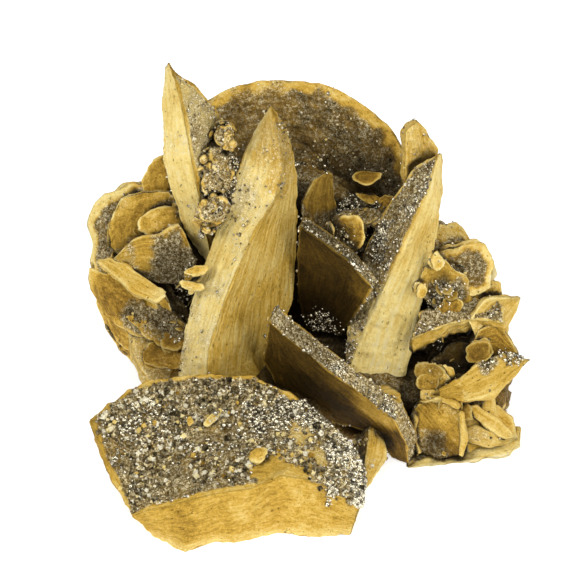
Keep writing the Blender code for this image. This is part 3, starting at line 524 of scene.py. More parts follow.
def plate_surface(plate, cell):
    """A flat tube between the two corners that lie farthest apart. Each row's section runs across
    the broad face, through the thickness, back across the far side, and through the thickness."""
    near = corners_of(plate.face, 0)
    if isinstance(plate.back, float):
        middle = near.mean(0)
        far = middle + (near - middle) * plate.back - (0, 0, plate.thick)
    else:
        far = corners_of(plate.back, plate.thick)
    one, other = two_chains(near)
    length = np.linalg.norm(np.diff(near[one], axis=0), axis=1).sum()
    rows = max(FEWEST_ROWS, round(length / cell))
    share = (np.arange(rows) + FIRST_ROW) / (rows + MORE_ROWS)
    a, b = along(near[one], share), along(near[other], share)
    c, d = along(far[one], share), along(far[other], share)
    across = shares(np.linalg.norm(a - b, axis=1).max(), cell)
    through = shares(plate.thick, cell)
    c_foot, d_foot = foot(a, c, plate), foot(b, d, plate)
    loop = [b + (a - b) * across, a + (c_foot - a) * through,
            underside(c, d, c_foot, d_foot, across, plate), d_foot + (b - d_foot) * through]
    points = np.concatenate(loop).swapaxes(0, 1)
    side = np.concatenate([np.full(len(part), k) for part, k in zip(loop, (0, 1, 2, 1))])
    side = np.broadcast_to(side, points.shape[:2])
    rim = np.where(side == 0, edge_distance(points, near), edge_distance(points, far)) * (side != 1)
    if plate.look == "block":
        lines = points @ BLOCK_LINES
    else:
        streak = SLAB_STREAK_LENGTH if plate.look == "slab" else STREAK_LENGTH
        around = np.arange(points.shape[1]) * cell
        lines = np.stack(np.broadcast_arrays(share[:, None] * length / streak,
                                             plate.place[0] * STREAK_SHIFT, around / STREAK_WIDTH), -1)
    for _ in range(2):
        points = (np.roll(points, 1, 1) + 2 * points + np.roll(points, -1, 1)) / 4
    ends = np.array([(near[k] + far[k]) / 2 for k in (one[0], one[-1])])
    return Surface(points, ends, lines, rim, side)


def petal_outline(petal, angle):
    """How far out the edge lies at each angle, as a share of the half size: lobes, a waver and, on
    the larger petals, blunt corners."""
    long = petal.radii[0]
    circle = np.stack((np.cos(angle), np.sin(angle), np.full(len(angle), petal.place[0])), -1)
    waver = EDGE_WAVER * min(MOST_WAVER, math.sqrt(WAVERING / long)) * waves(circle, OUTLINE_WAVES)
    lobe = 1 + LOBE_DEPTH * np.sin(petal.lobes * angle) + waver
    if petal.lobes:
        half = math.pi / (petal.lobes + MORE_CORNERS)
        flat_side = math.cos(half) / np.cos((angle + petal.place[2]) % (2 * half) - half)
        lobe = lobe * (1 + (flat_side - 1) * step(*CORNERED, long))
    return lobe


def petal_surface(petal, cell):
    """Rings out from the middle of the broad face to its edge, round it, and back in on the far side,
    which is a little smaller. The face bends like a saddle and thins towards its edge."""
    long, short = petal.radii
    count = max(FEWEST_AROUND, round(2 * math.pi * long / cell))
    rings = max(FEWEST_ACROSS, round(long / cell))
    wall = max(FEWEST_THROUGH, round(petal.thick / cell))
    out = (np.arange(rings) + FIRST_RING) / rings
    inner = (out < 1).sum()
    radius = np.r_[out[out < 1], np.linspace(1, PETAL_TAPER, wall), out[out < 1][::-1] * PETAL_TAPER]
    depth = np.r_[np.zeros(inner), np.linspace(0, 1, wall), np.ones(inner)][:, None]
    side = np.r_[np.zeros(inner), np.ones(wall), np.full(inner, 2)][:, None]
    angle = np.arange(count) * (2 * math.pi / count)
    lobe = petal_outline(petal, angle)
    radius = radius[:, None]
    x = radius * np.cos(angle) * lobe * long
    y = radius * np.sin(angle) * lobe * short
    bend = DISH * short * (x ** 2 / long ** 2 - y ** 2 / short ** 2)
    thin = RIM_THINNING * petal.thick * radius ** 4 * (1 - 2 * depth)
    z = bend - depth * petal.thick - thin
    c, s = math.cos(math.radians(petal.roll)), math.sin(math.radians(petal.roll))
    flat = np.stack((x * c - y * s, x * s + y * c, z), -1)
    size = (long + short) / 2
    rim = np.where(side == 1, 0, (1 - radius / np.where(side > 1, PETAL_TAPER, 1)) * size)
    apart, ring_apart = PETAL_LINES
    fast = (radius * size + depth * petal.thick) / ring_apart
    lines = np.stack(np.broadcast_arrays(flat[..., 0] / apart, flat[..., 1] / apart,
                                         fast + petal.place[0]), -1)
    ends = np.array(((0, 0, 0), (0, 0, -petal.thick)), float)
    shape = flat.shape[:2]
    return Surface(flat, ends, lines, np.broadcast_to(rim, shape), np.broadcast_to(side, shape))


def lump_surface(lump, cell):
    """Rings from the lowest point of a ball to the highest, each pushed in and out by slow waves of
    its place, then stretched to the lump's half sizes."""
    rows = max(FEWEST_ROWS, round(math.pi * lump.half_sizes[2] / cell))
    count = max(2 * FEWEST_ROWS, round(2 * math.pi * lump.half_sizes[0] / cell))
    height = ((np.arange(rows) + 0.5) * math.pi / rows)[:, None]
    angle = np.arange(count) * (2 * math.pi / count)
    ball = np.stack(np.broadcast_arrays(np.sin(height) * np.cos(angle), np.sin(height) * np.sin(angle),
                                        -np.cos(height)), -1)
    swell = sum(np.sin((LUMP_WAVES + k) * ball[..., k] + lump.place[k]) for k in range(3))
    points = ball * (1 + LUMP_ROUGHNESS * swell)[..., None] * lump.half_sizes
    ends = np.array(((0, 0, -1), (0, 0, 1))) * lump.half_sizes[2]
    rim = np.full(points.shape[:2], FAR_FROM_RIM)
    return Surface(points, ends, points * LUMP_LINES, rim, np.zeros(points.shape[:2]))


def crystal_surface(crystal, cell):
    """A crystal's surface in place, in the scene's axes."""
    if isinstance(crystal, Lump):
        made, turn = lump_surface(crystal, cell), np.eye(3)
    else:
        make = petal_surface
        if isinstance(crystal, Plate):
            make = plate_surface
            crystal = crystal._replace(thick=crystal.thick * THIN.get(crystal.name, 1))
        made, turn = make(crystal, cell), turned(crystal.facing, crystal.lean)
    return made._replace(points=made.points @ turn.T + crystal.place,
                         ends=made.ends @ turn.T + crystal.place)


def grid_normals(points):
    """The cross product of the steps along the rows and around them, at each point."""
    return np.cross(np.gradient(points, axis=0), np.roll(points, -1, 1) - np.roll(points, 1, 1))


def inside_sign(points):
    """1 where the grid's cross products point out, else -1."""
    return 1 if ((points - points.mean((0, 1))) * grid_normals(points)).sum() > 0 else -1


def normals_of(points):
    return unit(grid_normals(points) * inside_sign(points))


# ---------------------------------------------------------------- crowding

LAYERED = ("petal", "banded", "amber", "golden", "ledge", "block", "druse", "crumb", "rear")
LAYER = 1.2  # about the thickness of one of the layers that a petal is made of
LAYER_OVERLAP = 0.95  # a layer's thickness against its share of the petal's
THINNEST_LAYER = 0.8
LAYER_SHIFT = 0.09  # how far the layers lie aside, as a share of their half sizes
LAYER_TURNS = (4, 4, 25)  # degrees by which they face, lean and roll another way
LAYER_WIDTHS = (0.84, 1.05)
CHIPS = 26  # how many chips lie on a crumbly lump
CHIP_TURN = 45  # degrees
CHIP_SIZES = (0.5, 1.15)
CHIP_THICKNESSES = (0.5, 1.2)
CHIP_REACH = (0.7, 1)  # where a chip lies, as a share of the way out to the lump's surface

CROWD_CELL = 0.8
CROWD_MESH = 0.55  # close enough for a surface to miss no cell
CROWD_LOW = np.array((-48.0, -42.0, -4.0))
CROWD_SHAPE = (120, 108, 102)
WAYS = 40  # how many directions a point looks in
WALK = (0.8, 16, 1.1)  # first, last and step of the places tried in each direction
WALK_START = 1.3  # how far off its surface a point's walks start
GRAZING = 0.12  # a way out that leans closer to the surface than this isn't walked


def chips_of(petal, draw):
    """Small turned petals, strewn over a crumbly lump."""
    for _ in range(CHIPS):
        way = unit(draw.normal(size=3)) * draw.uniform(*CHIP_REACH)
        shift = way * (*petal.radii, petal.thick / 2) - (0, 0, petal.thick / 2)
        place = turned(petal.facing, petal.lean) @ shift + petal.place
        face, lean, roll = draw.normal(0, CHIP_TURN, 3)
        yield petal._replace(place=tuple(place), facing=petal.facing + face, lean=petal.lean + lean,
                             radii=tuple(draw.uniform(*CHIP_SIZES, 2)), roll=roll,
                             thick=draw.uniform(*CHIP_THICKNESSES))


def layers_of(number, petal):
    """A petal as a stack of thin ones, each a little turned, shifted and wider or narrower; or a
    crumbly lump with the chips that lie on it."""
    draw = np.random.default_rng(number)
    if petal.look == "crumb":
        return [petal, *chips_of(petal, draw)]
    count = max(1, round(petal.thick / LAYER)) if petal.look in LAYERED else 1
    stack = []
    for k in range(count):
        shift = (*draw.normal(0, LAYER_SHIFT, 2) * petal.radii * (k > 0), -k * petal.thick / count)
        place = turned(petal.facing, petal.lean) @ shift + petal.place
        wide = 1 if k == 0 else draw.uniform(*LAYER_WIDTHS)
        face, lean, roll = draw.normal(0, LAYER_TURNS) * (k > 0)
        stack.append(petal._replace(
            place=tuple(place), facing=petal.facing + face, lean=petal.lean + lean,
            radii=tuple(wide * np.array(petal.radii)), roll=petal.roll + roll,
            thick=max(THINNEST_LAYER, LAYER_OVERLAP * petal.thick / count), lobes=petal.lobes + k))
    return stack


CRYSTALS = (*PLATES, *(layer for k, petal in enumerate(PETALS) for layer in layers_of(k, petal)), *LUMPS)


def crowd_index(points):
    index = np.floor((points - CROWD_LOW) / CROWD_CELL).astype(int)
    return tuple(np.clip(index, 0, np.array(CROWD_SHAPE) - 1)[..., k] for k in range(3))


@cache
def crowded_cells():
    """True for every cell of a coarse grid that some crystal's surface passes through."""
    cells = np.zeros(CROWD_SHAPE, bool)
    for crystal in CRYSTALS:
        cells[crowd_index(crystal_surface(crystal, CROWD_MESH).points)] = True
    return cells


def openness(points, normals):
    """The share of ways out of each point that meet no crystal nearby: straight walks in directions
    spread evenly over a ball, each counted by how nearly it faces the way the point does."""
    cells = crowded_cells()
    turn = np.arange(WAYS) * math.pi * (3 - math.sqrt(5))
    rise = 1 - (np.arange(WAYS) + 0.5) * 2 / WAYS
    flat = np.sqrt(1 - rise ** 2)
    start = points + normals * WALK_START
    free, most = np.zeros(len(points)), np.zeros(len(points))
    for way in np.stack((np.cos(turn) * flat, np.sin(turn) * flat, rise), -1):
        facing = np.maximum(normals @ way, 0)
        some = facing > GRAZING
        blocked = np.zeros(some.sum(), bool)
        for reach in np.arange(*WALK):
            blocked |= cells[crowd_index(start[some] + way * reach)]
        free[some] += facing[some] * ~blocked
        most += facing
    return free / np.maximum(most, TINY)


def grid_openness(points, normals):
    """Openness of every second point of a grid, spread to the points between and smoothed."""
    some = openness(points[::2, ::2].reshape(-1, 3), normals[::2, ::2].reshape(-1, 3))
    some = some.reshape(points[::2, ::2].shape[:2])
    free = np.repeat(np.repeat(some, 2, 0), 2, 1)[:points.shape[0], :points.shape[1]]
    for _ in range(2):
        free = (np.roll(free, 1, 1) + 2 * free + np.roll(free, -1, 1)) / 4
        free[1:-1] = (free[:-2] + 2 * free[1:-1] + free[2:]) / 4
    return free


# ---------------------------------------------------------------- finished crystals

SWELL_HEIGHT, SWELLING = 0.13, 12  # the slow swells, and the size of a crystal that has them in full
GROOVE = 0.3  # how wide a growth line is, against how far apart they lie
CROSS_HEIGHT, CROSS_SCALE, CROSS_SEED = 0.6, (1.7, 1, 1.6), 3  # a second set of lines over the first
TERRACE = 0.12  # height of the steps that a petal's faces grew in
TERRACE_WIDTH, TERRACE_WAVER = 2.4, 1.1
# Painted highlight and shade on the steps of a petal's faces.
TERRACE_PAINTED_LIGHT_AND_SHADE = ((0.1, 0.75, 1), (-0.05, 0.3, 0))  # lighter at a step's upper edge, darker at its foot
BARE_GRIT = 0.25  # how rough a bare face is against a crusted one
RAGGED_WIDTH = 0.8  # how far in from an edge it is ragged
RIM_BLUR, RIM_WAVER = (1.4, 0.6), 0.4  # where the clean band starts and is full, against its width
PATCH_CRUST, PATCH_TONE, LEAST_CRUST = 0.3, 0.12, 0.02  # the patches spare a crust below the least
PETAL_EDGE, PETAL_EDGE_WIDTH, PETAL_MIDDLE = 0.2, 1.5, 0.14  # lighter at its edge, darker inside
# Painted light from the glowing floor: walls are drawn lighter right above the ground.
PAINTED_FLOOR_LIGHT, PAINTED_FLOOR_LIGHT_HEIGHTS = 0.25, (2.5, 0.3)  # how much lighter the walls are right above the ground
SPOT_EDGE, SPOT_WAVER = (1.05, 0.5), 0.4
CREVICE, CREVICE_TONE = 0.8, 0.2  # how much crust lies deep between crystals, and how dark they are
CREVICE_OPEN, CREVICE_WAVER = (0.6, 0.3), 0.1
PAINTED_SHADE_OPEN = (0.7, 0.1)  # painted shade, from none to full, by how open a place is
PYRITE_OPEN, SPOT_OPEN = (0.06, 0.2), (0.03, 0.1)  # pyrite lies only where it has room
CLUMP_EDGE, SMALL_CLUMP_EDGE, BETWEEN_CLUMPS = (-0.15, 0.5), (-0.35, 0.35), 0.04
# How far the edges of the spots of painted shade waver.
PAINTED_SHADE_WAVER = 0.3

# A finished crystal: its points, the way they face, its faces as loops of point numbers, and for
# each point the tone, crust and painted shade that its material reads, its lines, and its pyrite.
Finished = namedtuple("Finished", "points normals quads tris finish lines pyrite")


def spotted(values, points, name, what, waver):
    """The values with those of this crystal's spots blended in, each out to its wavering edge."""
    for spot in SPOTS.get(name, ()):
        value = getattr(spot, what)
        if value is not None:
            away = np.linalg.norm(points - spot.place, axis=-1) / spot.radius
            values = values + (value - values) * step(*SPOT_EDGE, away + SPOT_WAVER * waver)
    return values


def zone(look, side, part):
    """The tone or the crust of each point's zone."""
    values = np.array((look.face[part], look.wall[part], look.back[part]))
    return values[side.astype(int)]


def colouring(crystal, look, made, normals, terrace, seed):
    """The tone and the crust of each point."""
    points, side = made.points, made.side
    patch = waves(points, PATCHES, seed)
    width, rim_tone = look.rim
    edge = made.rim + RIM_WAVER * width * waves(points, RIM_WAVES, seed)
    edge = step(width * RIM_BLUR[0], width * RIM_BLUR[1], edge) * (side != 1)
    crust = zone(look, side, 1)
    crust = crust + look.settle * np.clip(normals[..., 2], 0, 1) + PATCH_CRUST * patch * (crust > LEAST_CRUST)
    crust = np.clip(crust * (1 - edge), 0, 1)
    crust = spotted(crust, points, crystal.name, "crust", waves(points, CRUST_EDGES, seed))
    tone = zone(look, side, 0)
    tone = tone + (rim_tone - tone) * edge + PATCH_TONE * patch
    tone = spotted(tone, points, crystal.name, "tone", patch)
    # Painted light: walls lighter right above the glowing floor.
    tone = tone + PAINTED_FLOOR_LIGHT * step(*PAINTED_FLOOR_LIGHT_HEIGHTS, points[..., 2]) * (side == 1)
    if isinstance(crystal, Petal):
        tone = tone + (PETAL_EDGE * np.exp(-made.rim / PETAL_EDGE_WIDTH) - PETAL_MIDDLE)
        # Painted highlight at each step's upper edge and painted shade at its foot.
        tone = tone + sum(height * step(low, high, terrace) for height, low, high in TERRACE_PAINTED_LIGHT_AND_SHADE)
    return tone, crust


def relief_of(crystal, look, made, terrace, crust, seed):
    """How far each point stands out: slow swells, growth lines, a petal's steps, grit where the
    crust lies, and ragged edges."""
    points = made.points
    relief = SWELL_HEIGHT * waves(points, SWELLS, seed) * min(1, crystal_size(crystal) / SWELLING)
    grooves = step(GROOVE, 0, np.abs(noise(made.lines, seed)))
    grooves = grooves + CROSS_HEIGHT * noise(made.lines * CROSS_SCALE, seed + CROSS_SEED)
    relief = relief - look.lines * grooves + look.sugar * waves(points, SUGAR, seed)
    relief = relief + TERRACE * isinstance(crystal, Petal) * (terrace - 0.5)
    relief = relief + look.grit * (BARE_GRIT + crust) * waves(points, GRIT, seed)
    ragged = np.exp(-made.rim / RAGGED_WIDTH)
    return relief + look.ragged * ragged * waves(points, RAGS, seed)


def finished(crystal, cell, seed):
    """A crystal with its relief pushed out along the way each point faces, and nothing below the
    flat underside."""
    look = LOOKS[crystal.look]
    made = crystal_surface(crystal, cell)
    normals = normals_of(made.points)
    terrace = made.rim / TERRACE_WIDTH + TERRACE_WAVER * waves(made.points, TERRACE_WAVES, seed)
    terrace = (terrace - np.floor(terrace)) * (made.side != 1)
    tone, crust = colouring(crystal, look, made, normals, terrace, seed)
    relief = relief_of(crystal, look, made, terrace, crust, seed)
    points = made.points + normals * relief[..., None]
    ends = made.ends.copy()
    for part in (points, ends):
        part[..., 2] = np.maximum(part[..., 2], 0)
    return assemble(crystal, look, points, ends, tone, crust, made.lines, seed)


def crystal_size(crystal):
    if isinstance(crystal, Petal):
        return 2 * crystal.radii[1]
    if isinstance(crystal, Lump):
        return 2 * min(crystal.half_sizes)
    return np.ptp(corners_of(crystal.face, 0), axis=0).max()


def grid_faces(points):
    """Four-sided faces between the rows of a grid and a fan at either end, facing outwards."""
    rows, count = points.shape[:2]
    total = rows * count
    number = np.arange(total).reshape(rows, count)
    following = np.roll(number, -1, 1)
    quads = np.stack((number[:-1], number[1:], following[1:], following[:-1]), -1).reshape(-1, 4)
    first = np.stack((np.full(count, total), number[0], following[0]), -1)
    last = np.stack((np.full(count, total + 1), following[-1], number[-1]), -1)
    tris = np.concatenate((first, last))
    if inside_sign(points) < 0:
        quads, tris = quads[:, ::-1], tris[:, ::-1]
    return quads, tris


def assemble(crystal, look, points, ends, tone, crust, lines, seed):
    """The grid as one closed mesh, its values with those of the two end points after them."""
    normals = normals_of(points)
    total = points.shape[0] * points.shape[1]
    flat = np.concatenate((points.reshape(-1, 3), ends))

    def with_ends(values):
        values = np.ascontiguousarray(values)
        return np.concatenate((values.reshape(total, -1), values[0].mean(0).reshape(1, -1),
                               values[-1].mean(0).reshape(1, -1)))

    tone, crust, lines, facing = (with_ends(values) for values in (tone, crust, lines, normals))
    free = with_ends(grid_openness(points, normals))[:, 0]
    hidden = step(*CREVICE_OPEN, free + CREVICE_WAVER * waves(flat, CREVICE_WAVES, seed))[:, None]
    hidden = hidden * (crystal.look in LAYERED)
    crust = np.maximum(crust, CREVICE * hidden)
    tone = tone - CREVICE_TONE * hidden
    # Painted shade: the fewer ways out of a place are free, the more of it a place gets, and the spots change
    # that.
    dirt = spotted(step(*PAINTED_SHADE_OPEN, free), flat, crystal.name, "dirt",
                   PAINTED_SHADE_WAVER * waves(flat, SPOT_EDGES, seed))
    finish = np.concatenate((tone, crust, dirt[:, None], np.ones((total + 2, 1))), 1)
    clumps = (step(*CLUMP_EDGE, waves(flat, CLUMPS, seed))
              * step(*SMALL_CLUMP_EDGE, waves(flat, SMALL_CLUMPS, seed)))
    pyrite = look.pyrite * crust[:, 0] * (clumps + BETWEEN_CLUMPS) * step(*PYRITE_OPEN, free)
    pyrite = spotted(pyrite, flat, crystal.name, "pyrite", waves(flat, PYRITE_EDGES, seed))
    return Finished(flat, facing, *grid_faces(points), finish, lines, pyrite * step(*SPOT_OPEN, free))


def piece_of(crystal):
    """The piece that names a crystal in full, or else the one that names how its name starts."""
    full = [piece for piece, (names, _) in PIECES.items() if crystal.name in names]
    starts = [piece for piece, (names, _) in PIECES.items()
              if any(name.endswith("_") and crystal.name.startswith(name) for name in names)]
    return (full + starts)[0]


@cache
def piece_crystals(piece):
    """The finished crystals of one piece."""
    return [finished(crystal, PIECES[piece][1], SEED_STEP * number + FIRST_SEED)
            for number, crystal in enumerate(CRYSTALS) if piece_of(crystal) == piece]


def faces_mesh(name, points, quads, tris):
    """A mesh with these points, given in mm, and these four-sided and three-sided faces."""
    mesh = bpy.data.meshes.new(name)
    mesh.vertices.add(len(points))
    mesh.vertices.foreach_set("co", (points * MM).ravel())
    loops = np.concatenate((quads.ravel(), tris.ravel()))
    totals = np.repeat((4, 3), (len(quads), len(tris)))
    mesh.loops.add(len(loops))
    mesh.loops.foreach_set("vertex_index", loops)
    mesh.polygons.add(len(totals))
    mesh.polygons.foreach_set("loop_start", np.cumsum(totals) - totals)
    mesh.polygons.foreach_set("loop_total", totals)
    mesh.update(calc_edges=True)
    return mesh


def joined_mesh(name, crystals, smooth=True):
    """One mesh of several finished crystals, with the values that its material reads."""
    shift = np.cumsum([0] + [len(c.points) for c in crystals])
    quads = np.concatenate([c.quads + s for c, s in zip(crystals, shift)])
    tris = np.concatenate([c.tris + s for c, s in zip(crystals, shift)])
    mesh = faces_mesh(name, np.concatenate([c.points for c in crystals]), quads, tris)
    mesh.polygons.foreach_set("use_smooth", np.full(len(mesh.polygons), smooth))
    finish = mesh.attributes.new("finish", "FLOAT_COLOR", "POINT")
    finish.data.foreach_set("color", np.concatenate([c.finish for c in crystals]).ravel())
    lines = mesh.attributes.new("growth_lines", "FLOAT_VECTOR", "POINT")
    lines.data.foreach_set("vector", np.concatenate([c.lines for c in crystals]).ravel())
    return mesh


def add_piece(name, mesh, material):
    """An object of this mesh that rides the specimen and stands in its solid's place."""
    mesh.materials.append(material)
    piece = bpy.data.objects.new(name, mesh)
    bpy.context.scene.collection.objects.link(piece)
    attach(piece, BODY)
    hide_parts(NODE)
    return piece


# ---------------------------------------------------------------- leaflets, crumbs and pyrite

LEAF_ROWS = np.array((0.7, 1.0, 0.95, 0.6))  # distance from the middle, front to back
LEAF_DEPTH = np.array((0.42, 0.1, -0.1, -0.45))  # share of the thickness, front to back
LEAF_RIM = 0.88  # rows that reach further than this are the pale rim
LEAF_COUNT = 9  # points round its edge
LEAF_LOBES, LEAF_TURN = (2, 5), 6  # its edge goes in and out from twice to four times
LEAF_PAINTED_SHADE = ((1.0, 0.8), (0.15, 0.6))  # leaflets stand where the painted shade is neither none nor full
LEAF_GROUND, CRUMB_GROUND, GRAIN_GROUND = 2, 1, 0.3  # how high above the ground they start
LEAF_SMALLEST = 0.3  # share of the largest
LEAF_LEANS = (0.1, 1.2)
LEAF_SINK = 0.15
LEAF_WAVER = 0.1
LEAF_LONG = (0.8, 1.3)
LEAF_THICK, LEAF_LEAST_THICK = 0.16, 0.18
LEAF_BEND = 0.12
LEAF_TONES, LEAF_RIM_TONE, LEAF_CRUST = (0.42, 0.68), 0.92, 0.08
LEAF_PAINTED_SHADE_SHARE = 0.6  # share of the painted shade where it stands

# Crumbs lie in clumps where the painted shade is light, and fewer lie among pyrite.
CRUMB_EDGE, CRUMB_PAINTED_SHADE, CRUMB_PYRITE = (-0.4, 0.5), (0.9, 0.5), (0.9, 1.5)
CRUMB_SLOPE, CRUMB_LOSS = 0.3, 0.7  # how far over a crumb can lie, and how many fewer lie among pyrite
CRUMB_TONES = ((0, 0.4, 0.75, 0.88, 1), (0.1, 0.4, 0.8, 1.3, 1.7))  # share of the crumbs, and tone
CRUMB_COVERED, COVERED_BELOW = 0.97, 0.95  # share of the darker crumbs that the crust covers

HEAP, HEAPED = 0.55, (1, 2)  # how far up the grains lie, where pyrite lies from close to closest
GRAIN_SINK, GRAIN_SCATTER = 0.22, 0.12
GRAIN_FLOOR = 0.02
EIGHT_SIDED = 0.6  # share of the grains that are octahedra
EIGHT_REACH, CUBE_SIDE = 0.62, 0.85  # sizes of a grain's shapes, against the grain's own


def host_points(pieces):
    """All points of the finished crystals of these pieces, the way they face, their crust, their
    painted shade and their pyrite."""
    crystals = [crystal for piece in pieces for crystal in piece_crystals(piece)]
    finish = np.concatenate([crystal.finish for crystal in crystals])
    return (np.concatenate([crystal.points for crystal in crystals]),
            np.concatenate([crystal.normals for crystal in crystals]), finish[:, 1], finish[:, 2],
            np.concatenate([crystal.pyrite for crystal in crystals]))


def chosen_points(chance, count, draw):
    return draw.choice(len(chance), count, p=chance / chance.sum())


def leaflets(pieces, count, largest, seed):
    """Small thin lenses that stand out of the crystals: each is a disc of rings with a wavering edge,
    its plane tipped over from the surface, its middle sunk a little into it."""
    draw = np.random.default_rng(seed)
    points, normals, _, dirt, _ = host_points(pieces)
    chance = step(*LEAF_PAINTED_SHADE[0], dirt) * step(*LEAF_PAINTED_SHADE[1], dirt) * (points[:, 2] > LEAF_GROUND)
    chosen = chosen_points(chance, count, draw)
    radius = largest * (LEAF_SMALLEST + (1 - LEAF_SMALLEST) * draw.random(count) ** 2)
    face = unit(normals[chosen] * draw.uniform(*LEAF_LEANS, (count, 1))
                + unit(draw.normal(size=(count, 3))))
    first = unit(np.cross(face, draw.normal(size=(count, 3))))
    second = np.cross(face, first)
    middle = points[chosen] + normals[chosen] * (radius * LEAF_SINK)[:, None]
    angle = np.arange(LEAF_COUNT) * (2 * math.pi / LEAF_COUNT)
    lobes, turn = draw.integers(*LEAF_LOBES, (count, 1)), draw.random((count, 1)) * LEAF_TURN
    edge = 1 + LEAF_WAVER * np.sin(angle * lobes + turn)
    edge = edge + LEAF_WAVER * draw.normal(size=(count, LEAF_COUNT))
    long = draw.uniform(*LEAF_LONG, (count, 1, 1))
    reach = LEAF_ROWS[:, None] * edge[:, None, :] * radius[:, None, None]
    x, y = reach * np.cos(angle) * long, reach * np.sin(angle) / long
    z = LEAF_DEPTH[:, None] * (LEAF_THICK * radius + LEAF_LEAST_THICK)[:, None, None]
    z = z + LEAF_BEND * (x * x - y * y) / radius[:, None, None]
    placed = middle[:, None, None]
    for distance, way in ((x, first), (y, second), (z, face)):
        placed = placed + distance[..., None] * way[:, None, None]
    placed[..., 2] = np.maximum(placed[..., 2], 0)
    rim = np.broadcast_to((LEAF_ROWS > LEAF_RIM)[:, None], placed.shape[1:3])
    crust = np.full(rim.shape, LEAF_CRUST)
    leaves = []
    for leaf, number in zip(placed, chosen):
        tone = np.where(rim, LEAF_RIM_TONE, draw.uniform(*LEAF_TONES))
        # Each leaflet takes a share of the painted shade of the place it stands on.
        leaves.append(closed_grid(leaf, tone, crust, np.full(rim.shape, LEAF_PAINTED_SHADE_SHARE * dirt[number])))
    return leaves


def closed_grid(points, tone, crust, dirt):
    """A small grid of rows closed by a fan at either end, with nothing more to be worked out."""
    total = points.shape[0] * points.shape[1]
    finish = np.stack((tone, crust, dirt, np.ones(tone.shape)), -1)
    finish = np.concatenate((finish.reshape(total, 4), finish[0, :1], finish[-1, :1]))
    lines = points * LUMP_LINES
    lines = np.concatenate((lines.reshape(total, 3), lines[0, :1], lines[-1, :1]))
    flat = np.concatenate((points.reshape(total, 3), points[[0, -1]].mean(1)))
    return Finished(flat, np.zeros_like(flat), *grid_faces(points), finish, lines, np.zeros(len(flat)))


def crumbs(pieces, count, smallest, largest, seed):
    """Broken bits of siderite lying on the crust, as one finished crystal of many small bodies."""
    draw = np.random.default_rng(seed)
    points, normals, crust, dirt, pyrite = host_points(pieces)
    chance = crust ** 2 * step(*CRUMB_EDGE, waves(points, CRUMB_CLUMPS, seed)) * step(*CRUMB_PAINTED_SHADE, dirt)
    chance = chance * (points[:, 2] > CRUMB_GROUND) * np.maximum(normals[:, 2] + CRUMB_SLOPE, 0)
    chance = chance * (1 - CRUMB_LOSS * step(*CRUMB_PYRITE, pyrite))
    placed, tris, owner = scattered(points, normals, chance, count, smallest, largest,
                                    np.zeros(len(points)), draw)
    tone = np.interp(draw.random(count), *CRUMB_TONES)
    cover = np.where(tone < COVERED_BELOW, draw.random(count) < CRUMB_COVERED, 0.0)
    finish = np.stack((tone, cover, np.zeros(count), np.ones(count)), -1)[owner]
    return Finished(placed, np.zeros_like(placed), np.empty((0, 4), int), tris, finish, placed,
                    np.zeros(len(placed)))


def pyrite_grains(pieces, count, smallest, largest, seed):
    """Pyrite crystals on the points where pyrite lies, heaped up where there is most."""
    points, normals, _, _, pyrite = host_points(pieces)
    chance = np.where(points[:, 2] > GRAIN_GROUND, np.maximum(pyrite, 0), 0)
    lift = HEAP * step(*HEAPED, pyrite)
    return scattered(points, normals, chance, count, smallest, largest, lift,
                     np.random.default_rng(seed))[:2]


def grain_shapes():
    """Points and triangles of an octahedron and of a cube, each about 1 across and closed."""
    eight = np.concatenate((np.eye(3), -np.eye(3))) * EIGHT_REACH
    eight_faces = [(0, 1, 2), (1, 3, 2), (3, 4, 2), (4, 0, 2), (1, 0, 5), (3, 1, 5), (4, 3, 5), (0, 4, 5)]
    cube = np.array(list(np.ndindex(2, 2, 2))) - 0.5
    cube_faces = [(0, 1, 3), (0, 3, 2), (4, 6, 7), (4, 7, 5), (0, 4, 5), (0, 5, 1),
                  (2, 3, 7), (2, 7, 6), (0, 2, 6), (0, 6, 4), (1, 5, 7), (1, 7, 3)]
    return (eight, np.array(eight_faces)), (cube * CUBE_SIDE, np.array(cube_faces))


def random_turns(count, draw):
    """Matrices of turns spread evenly over all there are, each from four random numbers."""
    w, x, y, z = unit(draw.normal(size=(count, 4))).T
    return np.stack((1 - 2 * (y * y + z * z), 2 * (x * y - z * w), 2 * (x * z + y * w),
                     2 * (x * y + z * w), 1 - 2 * (x * x + z * z), 2 * (y * z - x * w),
                     2 * (x * z - y * w), 2 * (y * z + x * w), 1 - 2 * (x * x + y * y)),
                    -1).reshape(-1, 3, 3)


def scattered(points, normals, chance, count, smallest, largest, lift, draw):
    """Small bodies on these points: the chances pick the points, and each body has a random size and
    turn, is sunk a little, and is raised by up to its point's lift. Gives their points and triangles,
    and each point's body."""
    chosen = chosen_points(chance, count, draw)
    size = smallest + (largest - smallest) * draw.random(count) ** 2
    rise = size * GRAIN_SINK + lift[chosen] * draw.random(count)
    where = points[chosen] + normals[chosen] * rise[:, None] + draw.normal(0, GRAIN_SCATTER, (count, 3))
    turn = random_turns(count, draw)
    kind = draw.random(count) < EIGHT_SIDED
    all_points, all_tris, owner, shift = [], [], [], 0
    for (shape, faces), some in zip(grain_shapes(), (kind, ~kind)):
        placed = np.einsum("nij,vj->nvi", turn[some], shape) * size[some, None, None] + where[some, None]
        number = np.arange(some.sum())[:, None, None] * len(shape) + shift
        all_points.append(placed.reshape(-1, 3))
        all_tris.append((faces + number).reshape(-1, 3))
        owner.append(np.repeat(np.flatnonzero(some), len(shape)))
        shift += placed.shape[0] * placed.shape[1]
    placed = np.concatenate(all_points)
    placed[:, 2] = np.maximum(placed[:, 2], GRAIN_FLOOR)
    return placed, np.concatenate(all_tris), np.concatenate(owner)


# ---------------------------------------------------------------- materials

# Noise textures: cells in a metre or in a unit of the growth lines, detail and roughness.
STREAKS = (1, 4, 0.65)
MOTTLE = (260, 4, 0.6)
SPECKLE = (1900, 3, 0.7)
FINE = (5200, 2, 0.7)
TARNISH = (1400, 2, 0.5)

